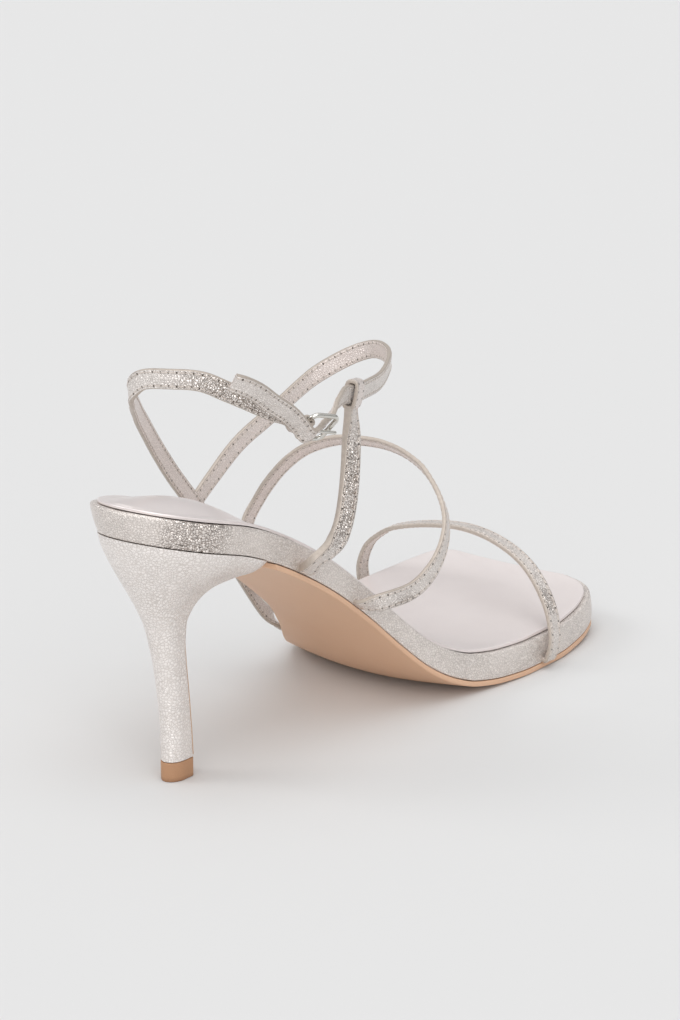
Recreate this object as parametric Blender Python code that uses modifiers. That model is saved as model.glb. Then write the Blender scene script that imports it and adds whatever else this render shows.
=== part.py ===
# Strappy heeled sandal, right shoe, modelled as the pieces that a maker lasts together.
# Frame: toe along +X, inner (medial) side +Y, up +Z. The origin is on the floor under the
# middle of the heel's top piece. Lengths are metres.
import bpy
import bmesh
import math
from mathutils import Vector

for leftover in list(bpy.data.objects):
    bpy.data.objects.remove(leftover, do_unlink=True)

MM = 0.001

# The last
SOLE_LENGTH = 226.6 * MM      # seat's rear edge to toe, measured along the floor
HEEL_SETBACK = 23.6 * MM      # how far the seat's rear edge stands behind the heel's top piece
SEAT_HEIGHT = 82.5 * MM       # floor to the footbed's lower edge at the rear
SEAT_WIDTH = 46.4 * MM        # footbed's lower edge, across the heel seat
SEAT_ROUND = 30.6 * MM        # length over which the seat's rear is rounded
BALL_WIDTH = 87.0 * MM        # across the widest part of the sole
BREAST = 20.6 * MM            # how far the heel's front edge stands before the origin

# The sole's layers
CLEAR = 0.3 * MM              # between any two pieces
OUTSOLE_THICK = 1.8 * MM
RAND_HEIGHT = 9.1 * MM        # wrapped edge of the footbed
RAND_FLARE = 2.0 * MM         # how far the rand's top edge leans out at the heel
EDGE_ROUND = 1.2 * MM         # rounding of the rand's top edge
CROWN = 4.0 * MM              # how far the sole's middle can bulge under its edges
DISH = 0.4                    # share of that bulge that shows on top of the footbed
SOCK_THICK = 1.0 * MM
SOCK_INSET = 2.2 * MM         # from the rand's top edge
PAD_RISE = 3.4 * MM           # soft heel pad under the sock
PAD_LENGTH = 58.0 * MM
PAD_WIDTH = 34.0 * MM
PAD_AT = 0.126                # its middle, as a share of the sole length

# The heel
TIP_HEIGHT = 6.2 * MM
TIP_LENGTH = 9.9 * MM
TIP_WIDTH = 7.8 * MM
TIP_CHAMFER = 0.4 * MM
BREAST_THICK = 1.0 * MM

# The straps
STRAP_WIDTH = 6.0 * MM
STRAP_THICK = 1.3 * MM
STRAP_STEP = 3.4 * MM         # spacing of a strap's sections
STRAP_TUCK = 6.0 * MM         # how far a strap's end is lasted under the footbed
STRAP_LEAVE = 1.6 * MM        # how far it runs straight out of the seam
SEAM_PLAY = 0.3 * MM          # more room under a strap's end, where the seam is curved
ANKLE_RISE = 60.0 * MM        # unit of height over the sole's edge for the straps' rows
ROOM_GAP = 0.5 * MM           # round a strap's end, inside the footbed
RISER_THICK = 2.4 * MM        # the outer upright is folded double
LOOP_GAP = 0.5 * MM           # between the riser's loop and the ankle strap
LOOP_WALL = 1.2 * MM
FOLD_WALL = 1.0 * MM          # pared leather folded round the buckle's bar

# The buckle
BUCKLE_WIDTH = 12.4 * MM      # across the strap, outside
BUCKLE_LENGTH = 11.2 * MM     # along the strap, outside
BUCKLE_CORNER = 2.2 * MM
BUCKLE_WIRE = 1.5 * MM
PRONG_WIRE = 1.1 * MM

# Sections of the sole. share: place along the sole length. height: footbed's lower edge, of
# SEAT_HEIGHT. outer, inner: half widths, of half the ball width. crown: of CROWN. flare: of
# RAND_FLARE.
SOLE_COLUMNS = ("share", "height", "outer", "inner", "crown", "flare")
SOLE_ROWS = [
    (0.000, 1.000, 0.530, 0.530, 0.00, 1.00),
    (0.060, 0.955, 0.533, 0.533, 0.00, 1.00),
    (0.135, 0.898, 0.533, 0.535, 0.00, 0.95),
    (0.213, 0.806, 0.522, 0.505, 0.05, 0.60),
    (0.320, 0.640, 0.524, 0.476, 0.30, 0.30),
    (0.426, 0.424, 0.535, 0.500, 0.60, 0.10),
    (0.480, 0.290, 0.578, 0.600, 0.80, 0.00),
    (0.532, 0.168, 0.652, 0.762, 1.00, -0.10),
    (0.575, 0.100, 0.706, 0.905, 0.90, -0.20),
    (0.620, 0.056, 0.753, 1.030, 0.65, -0.25),
    (0.680, 0.034, 0.803, 1.125, 0.42, -0.25),
    (0.740, 0.029, 0.832, 1.165, 0.35, -0.25),
    (0.810, 0.030, 0.830, 1.160, 0.38, -0.25),
    (0.880, 0.040, 0.785, 1.125, 0.45, -0.25),
    (0.940, 0.055, 0.690, 1.070, 0.50, -0.25),
    (0.970, 0.064, 0.585, 1.020, 0.50, -0.25),
    (0.988, 0.070, 0.455, 0.950, 0.50, -0.25),
    (1.000, 0.074, 0.270, 0.810, 0.50, -0.25),
]

# Sections of the heel from the seat down. up: height of the section's rear end, of SEAT_HEIGHT.
# follow: how much of the seat's slope it takes. rear: of HEEL_SETBACK. front: of BREAST. half:
# half width, of half the seat width. arc: rounded share of its length.
HEEL_COLUMNS = ("up", "follow", "rear", "front", "half", "arc")
HEEL_ROWS = [
    (1.000, 1.00, 1.000, 1.000, 1.000, 0.692),
    (0.958, 0.90, 0.968, 0.922, 0.950, 0.69),
    (0.915, 0.80, 0.915, 0.820, 0.862, 0.68),
    (0.873, 0.65, 0.855, 0.655, 0.745, 0.66),
    (0.830, 0.50, 0.790, 0.485, 0.615, 0.63),
    (0.788, 0.35, 0.722, 0.340, 0.495, 0.60),
    (0.733, 0.20, 0.633, 0.204, 0.376, 0.58),
    (0.679, 0.10, 0.542, 0.107, 0.294, 0.56),
    (0.618, 0.00, 0.453, 0.048, 0.238, 0.55),
    (0.545, 0.00, 0.380, 0.044, 0.211, 0.55),
    (0.473, 0.00, 0.320, 0.073, 0.195, 0.55),
    (0.333, 0.00, 0.245, 0.146, 0.178, 0.55),
    (0.177, 0.00, 0.205, 0.209, 0.168, 0.55),
    (0.079, 0.00, 0.200, 0.236, 0.166, 0.55),
]

# Rows of the straps. along: of the sole length. side: of half the ball width, inner side
# positive. up: over the sole's edge, of ANKLE_RISE. slant: turn of the strap's width from
# straight ahead towards straight up, in degrees. lean: its tilt to the inner side, in degrees.
STRAP_COLUMNS = ("along", "side", "up", "slant", "lean")
ANKLE_ROWS = [
    (0.263, 0.644, 0.046, 150, 0),
    (0.289, 0.738, 0.097, 135, 0),
    (0.316, 0.809, 0.182, 120, 0),
    (0.345, 0.857, 0.289, 105, 0),
    (0.399, 0.883, 0.560, 95, 0),
    (0.454, 0.855, 0.887, 95, 0),
    (0.516, 0.795, 1.220, 90, 0),
    (0.586, 0.717, 1.523, 90, 0),
    (0.612, 0.609, 1.632, 90, 0),
    (0.627, 0.460, 1.711, 90, 0),
    (0.627, 0.299, 1.758, 90, 0),
    (0.614, 0.149, 1.768, 90, 0),
    (0.581, -0.046, 1.730, 90, 0),
    (0.532, -0.218, 1.625, 90, -5),
    (0.475, -0.368, 1.434, 90, -5),
    (0.413, -0.490, 1.247, 90, -5),
    (0.360, -0.575, 1.116, 90, -8),
    (0.328, -0.621, 1.056, 92, -12),
    (0.294, -0.690, 0.969, 92, -25),
]
FREE_END_ROWS = [
    (0.183, -0.811, 0.737, 99, -36),
    (0.155, -0.828, 0.776, 99, -30),
    (0.120, -0.832, 0.815, 99, -28),
    (0.090, -0.828, 0.863, 99, -25),
    (0.064, -0.805, 0.891, 99, -22),
    (0.053, -0.777, 0.897, 99, -20),
]
SLING_ROWS = [
    (0.175, -0.770, 0.766, 95, -28),
    (0.141, -0.743, 0.773, 92, -20),
    (0.110, -0.690, 0.803, 90, -12),
    (0.081, -0.609, 0.838, 90, -5),
    (0.056, -0.492, 0.870, 90, 0),
    (0.031, -0.322, 0.857, 90, 0),
    (0.021, -0.138, 0.830, 90, 5),
    (0.027, -0.011, 0.766, 90, 5),
    (0.062, 0.140, 0.711, 85, 5),
    (0.089, 0.260, 0.689, 80, 5),
    (0.124, 0.389, 0.653, 75, 0),
    (0.157, 0.510, 0.615, 70, 0),
    (0.190, 0.609, 0.576, 65, 0),
    (0.247, 0.745, 0.491, 60, 0),
    (0.294, 0.798, 0.399, 50, 0),
    (0.356, 0.834, 0.304, 42, 0),
    (0.435, 0.823, 0.163, 36, 0),
    (0.492, 0.809, 0.069, 30, 0),
]
RISER_ROWS = [
    (0.252, -0.660, 0.082, -10, 0),
    (0.277, -0.697, 0.180, -5, -2),
    (0.303, -0.687, 0.302, 0, -14),
    (0.327, -0.657, 0.517, 0, -20),
    (0.351, -0.593, 0.827, 0, -14),
]
INSTEP_ROWS = [
    (0.401, -0.703, 0.095, -80, 0),
    (0.451, -0.784, 0.284, -85, 0),
    (0.489, -0.821, 0.513, -80, 0),
    (0.527, -0.772, 0.759, -70, 0),
    (0.557, -0.644, 0.942, -60, 0),
    (0.581, -0.405, 1.123, -50, 0),
    (0.587, -0.205, 1.203, -42, 0),
    (0.585, 0.000, 1.237, -40, 0),
    (0.575, 0.198, 1.230, -38, 0),
    (0.563, 0.391, 1.196, -36, 0),
    (0.548, 0.579, 1.109, -33, 0),
    (0.538, 0.703, 1.015, -30, 0),
    (0.530, 0.834, 0.885, -25, 0),
    (0.526, 0.966, 0.731, -20, 0),
    (0.509, 1.011, 0.549, -22, 0),
    (0.486, 0.931, 0.279, -35, 0),
    (0.466, 0.713, 0.078, -45, 0),
]
TOE_ROWS = [
    (0.850, 1.230, 0.186, 0, 0),
    (0.853, 1.179, 0.319, 0, 0),
    (0.854, 1.074, 0.398, 0, 0),
    (0.849, 0.887, 0.479, 0, 0),
    (0.852, 0.552, 0.539, 0, 0),
    (0.848, 0.184, 0.570, 0, 0),
    (0.835, -0.184, 0.548, 0, 0),
    (0.819, -0.506, 0.466, 0, 0),
    (0.797, -0.770, 0.309, 0, 0),
    (0.782, -0.885, 0.143, 0, 0),
]

# Where the straps come out from under the footbed, as shares of the sole length
ANKLE_FOOT_SHARE = 0.250
UPRIGHT_FOOT_SHARE = 0.532
RISER_FOOT_SHARE = 0.258
INSTEP_OUTER_FOOT_SHARE = 0.384
INSTEP_INNER_FOOT_SHARE = 0.457
TOE_INNER_FOOT_SHARE = 0.850
TOE_OUTER_FOOT_SHARE = 0.775
LOOP_ROW = (0.360, -0.575, 1.116, 90, -8)      # where the ankle strap runs through the riser

# The buckle's middle as a strap row, and its directions along the strap and up across it
BUCKLE_ROW = (0.228, -0.775, 0.771, 91, -42)
BUCKLE_AHEAD = Vector((0.93, -0.24, -0.24)).normalized()

# The ankle strap's way through the buckle. ahead: of half the buckle's length from its middle.
# out: of the frame wire, away from the leg.
PASS_COLUMNS = ("ahead", "out")
PASS_ROWS = [
    (1.10, -2.25),
    (0.80, -1.42),
    (0.30, -0.40),
    (-0.32, 1.60),
    (-0.87, 2.50),
]


class Row:
    """One table row whose values are read by column name."""

    def __init__(self, columns, values):
        for name, value in zip(columns, values):
            setattr(self, name, value)


def rows_of(columns, table):
    return [Row(columns, values) for values in table]


SOLE = rows_of(SOLE_COLUMNS, SOLE_ROWS)
HEEL = rows_of(HEEL_COLUMNS, HEEL_ROWS)


def monotone(knots, values, at):
    """Smooth curve through the knots that never overshoots a row."""
    at = min(max(at, knots[0]), knots[-1])
    steps = [b - a for a, b in zip(knots, knots[1:])]
    rises = [(b - a) / step for a, b, step in zip(values, values[1:], steps)]
    slopes = [rises[0]]
    for before, after in zip(rises, rises[1:]):
        slopes.append(0.0 if before * after <= 0 else 2 * before * after / (before + after))
    slopes.append(rises[-1])
    i = 0
    while i < len(steps) - 1 and at > knots[i + 1]:
        i += 1
    t = (at - knots[i]) / steps[i]
    start = (1 + 2 * t) * (1 - t) ** 2 * values[i] + t * (1 - t) ** 2 * steps[i] * slopes[i]
    end = t * t * (3 - 2 * t) * values[i + 1] - t * t * (1 - t) * steps[i] * slopes[i + 1]
    return start + end


def sole_value(name, share):
    return monotone([row.share for row in SOLE], [getattr(row, name) for row in SOLE], share)


def place_along(share):
    return share * SOLE_LENGTH - HEEL_SETBACK


def share_at(x):
    return (x + HEEL_SETBACK) / SOLE_LENGTH


def edge_height(share):
    """Height of the footbed's lower edge."""
    return sole_value("height", share) * SEAT_HEIGHT


def half_width(share, side):
    """Half width of the sole on the inner (+1) or outer (-1) side."""
    width = sole_value("inner" if side > 0 else "outer", share) * BALL_WIDTH / 2
    seat_end, waist = SOLE[2].share, SOLE[3].share
    blend = min(max((share - seat_end) / (waist - seat_end), 0.0), 1.0)
    width = SEAT_WIDTH / 2 * (1 - blend) + width * blend
    reach = share * SOLE_LENGTH / SEAT_ROUND
    if reach < 1:
        width *= math.sqrt(max(1 - (1 - reach) ** 2, 0.0))
    return width


def outline_point(share, side, out):
    """Point of the sole's outline on one side, moved outwards by a distance."""
    here = Vector((place_along(share), side * half_width(share, side)))
    if share <= 0.0:
        return here + Vector((-out, 0.0))
    if share >= 1.0:
        return here + Vector((out, side * out * 0.5))
    low, high = max(share - 0.002, 0.0), min(share + 0.002, 1.0)
    ahead = Vector((place_along(high), side * half_width(high, side)))
    behind = Vector((place_along(low), side * half_width(low, side)))
    tangent = (ahead - behind).normalized()
    return here + side * Vector((-tangent.y, tangent.x)) * out


def bulge(share, across):
    """How far the sole's middle lies under its edge. The outsole stops it at the floor."""
    room = max(edge_height(share) - OUTSOLE_THICK - CLEAR, 0.0)
    return min(sole_value("crown", share) * CROWN * 4 * across * (1 - across), room)


def seam_height(x, y):
    """Height of the footbed's underside over a place in plan."""
    share = min(max(share_at(x), 0.0), 1.0)
    outer, inner = half_width(share, -1), half_width(share, 1)
    across = min(max((y + outer) / max(outer + inner, MM), 0.0), 1.0)
    return edge_height(share) - bulge(share, across)


def sole_stations(first, last):
    """Shares along the sole, closer together round the seat's rear and at the toe."""
    rear = SEAT_ROUND / SOLE_LENGTH
    shares = [rear * (1 - math.cos(math.radians(11.25 * i))) for i in range(9)]
    shares += [0.165, 0.195, 0.23, 0.27, 0.31, 0.35, 0.39, 0.42, 0.45, 0.48, 0.505, 0.53, 0.555]
    shares += [0.58, 0.605, 0.635, 0.67, 0.705, 0.74, 0.775, 0.81, 0.845, 0.88, 0.91, 0.94, 0.96]
    shares += [0.975, 0.985, 0.993, 1.0]
    inside = [share for share in shares if first + 0.004 < share < last]
    return [first] + inside + [last]


SOLE_COLUMN_COUNT = 8


def slab(layers, first=0.0, dome=None):
    """Builder of a slab in the sole's outline. A layer is (flare, out, lift, crown): its share of
    the rand's flare, its distance from the outline, its height over the seam, and its share of
    the sole's crown. The top layer takes the dome."""
    shares = sole_stations(first, 1.0)

    def build(bm):
        grids = []
        for flare, out, lift, crown in layers:
            top = (flare, out, lift, crown) == layers[-1]
            grid = []
            for share in shares:
                reach = out + flare * sole_value("flare", share) * RAND_FLARE
                outer = outline_point(share, -1, reach)
                inner = outline_point(share, 1, reach)
                column = []
                for j in range(SOLE_COLUMN_COUNT + 1):
                    across = j / SOLE_COLUMN_COUNT
                    spot = outer.lerp(inner, across)
                    under = share_at(spot.x)
                    height = edge_height(under) - crown * bulge(under, across) + lift
                    if top and dome:
                        height += dome(spot.x, spot.y)
                    column.append(bm.verts.new((spot.x, spot.y, height)))
                grid.append(column)
            grids.append(grid)
        for grid in (grids[0], grids[-1]):
            for near, far in zip(grid, grid[1:]):
                for j in range(SOLE_COLUMN_COUNT):
                    bm.faces.new((near[j], near[j + 1], far[j + 1], far[j]))
        for below, above in zip(grids, grids[1:]):
            low, high = border(below), border(above)
            for j in range(len(low)):
                k = (j + 1) % len(low)
                bm.faces.new((low[j], low[k], high[k], high[j]))
    return build


def border(grid):
    """The verts round a grid, in order."""
    ring = [column[0] for column in grid]
    ring += grid[-1][1:-1]
    ring += [column[-1] for column in reversed(grid)]
    ring += list(reversed(grid[0][1:-1]))
    return ring


def heel_pad(x, y):
    """Rise of the soft pad over the sock."""
    ahead = (x - place_along(PAD_AT)) / (PAD_LENGTH / 2)
    aside = y / (PAD_WIDTH / 2)
    return PAD_RISE * max(1 - ahead * ahead - aside * aside, 0.0) ** 1.2


def heel_height(row, x):
    """Height of a heel section over a place along the foot."""
    drop = SEAT_HEIGHT - edge_height(max(share_at(x), 0.0))
    return row.up * SEAT_HEIGHT - row.follow * drop - CLEAR


def d_outline(rear, front, half, arc):
    """Heel section in plan: rounded behind, flat in front, from the outer to the inner side."""
    length = front - rear
    corner = min(0.12 * length, 0.3 * half)
    points = [(front, -(half - corner)), (front - 0.3 * corner, -(half - 0.3 * corner))]
    points += [(front - corner, -half)]
    for i in range(13):
        angle = math.radians(-90 + 15 * i)
        points.append((rear + arc * length * (1 - math.cos(angle)), half * math.sin(angle)))
    points += [(front - corner, half), (front - 0.3 * corner, half - 0.3 * corner)]
    points += [(front, half - corner)]
    return points


def loft(bm, rings):
    """Closed body through rings of verts that are symmetric about the foot's middle plane."""
    count = len(rings[0])
    for above, below in zip(rings, rings[1:]):
        for j in range(count):
            k = (j + 1) % count
            bm.faces.new((above[j], above[k], below[k], below[j]))
    for ring in (rings[0], rings[-1]):
        for j in range((count - 1) // 2):
            corners = [ring[j], ring[j + 1], ring[count - 2 - j], ring[count - 1 - j]]
            bm.faces.new(list(dict.fromkeys(corners)))


def finer(rows, names):
    """The heel's rows with one more section between each two."""
    result = []
    for index in range(2 * len(rows) - 1):
        values = [monotone(range(len(rows)), [getattr(row, name) for row in rows], index / 2)
                  for name in names]
        result.append(Row(names, values))
    return result


def build_heel(bm):
    rings = []
    for row in finer(HEEL, HEEL_COLUMNS):
        outline = d_outline(-row.rear * HEEL_SETBACK, row.front * BREAST,
                            row.half * SEAT_WIDTH / 2, row.arc)
        rings.append([bm.verts.new((x, y, max(heel_height(row, x), TIP_HEIGHT + CLEAR)))
                      for x, y in outline])
    bottom = rings[-1]
    for vert in bottom:
        vert.co.z = TIP_HEIGHT + CLEAR
    loft(bm, rings)


def build_heel_breast(bm):
    rings = []
    for row in finer(HEEL, HEEL_COLUMNS):
        near = row.front * BREAST + CLEAR
        far = near + BREAST_THICK
        half = 0.7 * row.half * SEAT_WIDTH / 2
        rings.append([bm.verts.new((x, y, heel_height(row, x)))
                      for x, y in ((far, -half), (near, -half), (near, half), (far, half))])
    for vert in rings[-1]:
        vert.co.z = TIP_HEIGHT + CLEAR
    loft(bm, rings)


def build_heel_tip(bm):
    rings = []
    for height, inset in ((TIP_HEIGHT, 0.0), (TIP_CHAMFER, 0.0), (0.0, TIP_CHAMFER)):
        outline = d_outline(-TIP_LENGTH / 2 + inset, TIP_LENGTH / 2 - inset,
                            TIP_WIDTH / 2 - inset, HEEL[-1].arc)
        rings.append([bm.verts.new((x, y, height)) for x, y in outline])
    loft(bm, rings)


class Spot:
    """One section of a strap: its middle and the direction of its width."""

    def __init__(self, place, wide):
        self.place = place
        self.wide = wide


def wide_direction(slant, lean):
    slant, lean = math.radians(slant), math.radians(lean)
    return Vector((math.cos(slant) * math.cos(lean), math.sin(lean),
                   math.sin(slant) * math.cos(lean)))


def strap_spot(values):
    row = Row(STRAP_COLUMNS, values)
    height = edge_height(row.along) + row.up * ANKLE_RISE
    place = Vector((place_along(row.along), row.side * BALL_WIDTH / 2, height))
    return Spot(place, wide_direction(row.slant, row.lean))


def foot_spots(share, side, sense=1, thick=STRAP_THICK):
    """A strap's end, lasted under the footbed, from its tip outwards to the sole's edge."""
    low, high = outline_point(share - 0.01, side, 0.0), outline_point(share + 0.01, side, 0.0)
    half = (high - low).normalized() * STRAP_WIDTH / 2
    spots = []
    for out in (-STRAP_TUCK, -STRAP_TUCK / 2, 0.0, STRAP_LEAVE):
        spot = outline_point(share, side, out)
        near, far = spot - half, spot + half
        low_edge = Vector((near.x, near.y, seam_height(near.x, near.y)))
        high_edge = Vector((far.x, far.y, seam_height(far.x, far.y)))
        wide = (high_edge - low_edge).normalized()
        lift = Vector((0.0, 0.0, thick / 2 / math.sqrt(1 - wide.z * wide.z) + SEAM_PLAY))
        spots.append(Spot((low_edge + high_edge) / 2 + lift, wide * sense))
    return spots


def smooth_path(spots, closed=False, step=STRAP_STEP):
    """Even sections along a smooth curve through the spots."""
    count = len(spots)
    last = count if closed else count - 1
    path = []
    for i in range(last):
        if closed:
            before, after = spots[i - 1], spots[(i + 2) % count]
        else:
            before, after = spots[max(i - 1, 0)], spots[min(i + 2, count - 1)]
        start, end = spots[i], spots[(i + 1) % count]
        length = (end.place - start.place).length
        lead = (start.place - before.place).length
        trail = (after.place - end.place).length
        leave = (end.place - before.place) * (length / max(length + lead, MM))
        arrive = (after.place - start.place) * (length / max(length + trail, MM))
        pieces = max(round(length / step), 1)
        for k in range(pieces):
            t = k / pieces
            place = (start.place * (1 + 2 * t) * (1 - t) ** 2 + leave * t * (1 - t) ** 2
                     + end.place * t * t * (3 - 2 * t) - arrive * t * t * (1 - t))
            path.append(Spot(place, start.wide.lerp(end.wide, t).normalized()))
    if not closed:
        path.append(spots[-1])
    return path


def square_to_path(path, closed=False):
    """Turn each section's width direction square to the strap's run."""
    result = []
    count = len(path)
    for i, spot in enumerate(path):
        behind = path[i - 1] if closed or i > 0 else path[0]
        ahead = path[(i + 1) % count] if closed else path[min(i + 1, count - 1)]
        run = (ahead.place - behind.place).normalized()
        wide = (spot.wide - run * spot.wide.dot(run)).normalized()
        result.append((spot.place, wide, run))
    return result


def ribbon(spots, width, closed=False, step=STRAP_STEP):
    """Builder of a strap's middle surface."""
    def build(bm):
        rows = []
        for place, wide, run in square_to_path(smooth_path(spots, closed, step), closed):
            rows.append([bm.verts.new(place + wide * width * side) for side in (-0.5, 0.5)])
        pairs = list(zip(rows, rows[1:])) + ([(rows[-1], rows[0])] if closed else [])
        for near, far in pairs:
            bm.faces.new((near[0], near[1], far[1], far[0]))
    return build


def frame_at(path_spots, target):
    """Middle, width direction and run of a strap where it passes nearest a place."""
    sections = square_to_path(smooth_path(path_spots))
    return min(sections, key=lambda section: (section[0] - target).length)


def new_collection(name):
    collection = bpy.data.collections.new(name)
    bpy.context.scene.collection.children.link(collection)
    return collection


PIECES = new_collection("strappy_sandal")
CUTTERS = new_collection("sandal_cutters")


def new_material(name, color, roughness, metallic=0.0):
    material = bpy.data.materials.new(name)
    material.use_nodes = True
    shader = material.node_tree.nodes["Principled BSDF"]
    shader.inputs["Base Color"].default_value = (*color, 1.0)
    shader.inputs["Roughness"].default_value = roughness
    shader.inputs["Metallic"].default_value = metallic
    return material


def new_mesh_object(name, builder, material, cutter=False):
    bm = bmesh.new()
    builder(bm)
    bmesh.ops.remove_doubles(bm, verts=bm.verts, dist=0.00001)
    bmesh.ops.recalc_face_normals(bm, faces=bm.faces)
    mesh = bpy.data.meshes.new(name)
    bm.to_mesh(mesh)
    bm.free()
    obj = bpy.data.objects.new(name, mesh)
    obj.data.materials.append(material)
    if cutter:
        CUTTERS.objects.link(obj)
        obj.hide_render = True
        obj.display_type = "WIRE"
    else:
        PIECES.objects.link(obj)
    return obj


def thicken(obj, thickness):
    solidify = obj.modifiers.new("thickness", "SOLIDIFY")
    solidify.thickness = thickness
    solidify.offset = 0.0
    solidify.use_even_offset = True


def combine(obj, other, operation):
    boolean = obj.modifiers.new(operation.lower(), "BOOLEAN")
    boolean.operation = operation
    boolean.solver = "EXACT"
    boolean.object = other


def strap(name, spots, thick, material, cutter=False, width=STRAP_WIDTH, closed=False,
          step=STRAP_STEP):
    obj = new_mesh_object(name, ribbon(spots, width, closed, step), material, cutter)
    thicken(obj, thick)
    return obj


def wire(name, points, radius, closed, material):
    """Round wire through the points."""
    curve = bpy.data.curves.new(name, "CURVE")
    curve.dimensions = "3D"
    curve.bevel_depth = radius
    curve.bevel_resolution = 2
    curve.use_fill_caps = not closed
    spline = curve.splines.new("POLY")
    spline.points.add(len(points) - 1)
    for point, place in zip(spline.points, points):
        point.co = (*place, 1.0)
    spline.use_cyclic_u = closed
    obj = bpy.data.objects.new(name, curve)
    obj.data.materials.append(material)
    return obj


def curve_to_cutter(obj):
    """Mesh copy of a wire, with its caps welded, for cutting."""
    bpy.context.scene.collection.objects.link(obj)
    evaluated = obj.evaluated_get(bpy.context.evaluated_depsgraph_get())
    mesh = bpy.data.meshes.new_from_object(evaluated)
    bm = bmesh.new()
    bm.from_mesh(mesh)
    bmesh.ops.remove_doubles(bm, verts=bm.verts, dist=0.00001)
    bmesh.ops.recalc_face_normals(bm, faces=bm.faces)
    bm.to_mesh(mesh)
    bm.free()
    cutter = bpy.data.objects.new(obj.name, mesh)
    cutter.matrix_world = obj.matrix_world
    cutter.hide_render = True
    cutter.display_type = "WIRE"
    CUTTERS.objects.link(cutter)
    bpy.data.objects.remove(obj, do_unlink=True)
    return cutter


SILVER = (0.62, 0.60, 0.57)
TAN = (0.55, 0.38, 0.26)
rand_leather = new_material("crackled_silver_leather", SILVER, 0.35, 0.8)
heel_leather = new_material("crackled_silver_heel_leather", SILVER, 0.35, 0.8)
strap_leather = new_material("crackled_silver_strap_leather", SILVER, 0.35, 0.8)
riser_leather = new_material("crackled_silver_riser_leather", SILVER, 0.35, 0.8)
toe_leather = new_material("crackled_silver_toe_leather", SILVER, 0.35, 0.8)
sock_leather = new_material("pale_lining_leather", (0.66, 0.58, 0.53), 0.5, 0.3)
outsole_board = new_material("tan_outsole", TAN, 0.5)
breast_board = new_material("tan_breast_cover", TAN, 0.5)
tip_rubber = new_material("tan_top_piece", (0.48, 0.31, 0.18), 0.6)
frame_metal = new_material("polished_nickel", (0.75, 0.74, 0.72), 0.12, 1.0)
prong_metal = new_material("polished_nickel_prong", (0.75, 0.74, 0.72), 0.12, 1.0)

# Sole
breast_end = share_at(BREAST + 2 * CLEAR + BREAST_THICK)
outsole = new_mesh_object("outsole", slab([
    (0.0, 0.0, -CLEAR - OUTSOLE_THICK, 1.0),
    (0.0, 0.0, -CLEAR, 1.0),
], first=breast_end), outsole_board)
footbed = new_mesh_object("footbed", slab([
    (0.0, 0.0, 0.0, 1.0),
    (0.5, 0.0, 0.45 * RAND_HEIGHT, 1.0),
    (1.0, 0.0, RAND_HEIGHT - EDGE_ROUND, DISH),
    (1.0, -0.3 * EDGE_ROUND, RAND_HEIGHT - 0.3 * EDGE_ROUND, DISH),
    (1.0, -EDGE_ROUND, RAND_HEIGHT, DISH),
]), rand_leather)
insole_sock = new_mesh_object("insole_sock", slab([
    (1.0, -SOCK_INSET, RAND_HEIGHT + CLEAR, DISH),
    (1.0, -SOCK_INSET, RAND_HEIGHT + CLEAR + 0.6 * SOCK_THICK, DISH),
    (1.0, -SOCK_INSET - 0.5 * SOCK_THICK, RAND_HEIGHT + CLEAR + SOCK_THICK, DISH),
], dome=heel_pad), sock_leather)

# Heel
new_mesh_object("heel", build_heel, heel_leather)
new_mesh_object("heel_breast", build_heel_breast, breast_board)
new_mesh_object("heel_tip", build_heel_tip, tip_rubber)

# Buckle
buckle_spot = strap_spot(BUCKLE_ROW)
buckle_middle = buckle_spot.place
buckle_up = (buckle_spot.wide - BUCKLE_AHEAD * buckle_spot.wide.dot(BUCKLE_AHEAD)).normalized()
buckle_out = BUCKLE_AHEAD.cross(buckle_up).normalized()
bar_ahead = BUCKLE_LENGTH / 2 - BUCKLE_WIRE / 2
bar_up = BUCKLE_WIDTH / 2 - BUCKLE_WIRE / 2


def buckle_place(ahead, up, out):
    return buckle_middle + BUCKLE_AHEAD * ahead + buckle_up * up + buckle_out * out


frame_points = []
for quarter, (ahead, up) in enumerate(((1, 1), (-1, 1), (-1, -1), (1, -1))):
    for k in range(5):
        angle = math.radians(90 * quarter + 22.5 * k)
        frame_points.append(buckle_place(
            ahead * (bar_ahead - BUCKLE_CORNER) + BUCKLE_CORNER * math.cos(angle),
            up * (bar_up - BUCKLE_CORNER) + BUCKLE_CORNER * math.sin(angle), 0.0))
PIECES.objects.link(wire("buckle_frame", frame_points, BUCKLE_WIRE / 2, True, frame_metal))


def prong_path(start, past):
    """The prong: an eye round the frame's bar, then straight over the opposite bar."""
    eye = BUCKLE_WIRE / 2 + CLEAR + PRONG_WIRE / 2
    points = []
    for k in range(11):
        angle = math.radians(start + (-270 - start) * k / 10)
        points.append(buckle_place(-bar_ahead + eye * math.cos(angle), 0.0,
                                   eye * math.sin(angle)))
    for k in range(1, 7):
        points.append(buckle_place(-bar_ahead + (2 * bar_ahead + past) * k / 6, 0.0, eye))
    return points


PIECES.objects.link(wire("buckle_prong", prong_path(-30, BUCKLE_WIRE), PRONG_WIRE / 2, False,
                         prong_metal))
prong_room = curve_to_cutter(wire("prong_room", prong_path(0, 2 * BUCKLE_WIRE),
                                  PRONG_WIRE / 2 + CLEAR, False, prong_metal))

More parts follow.
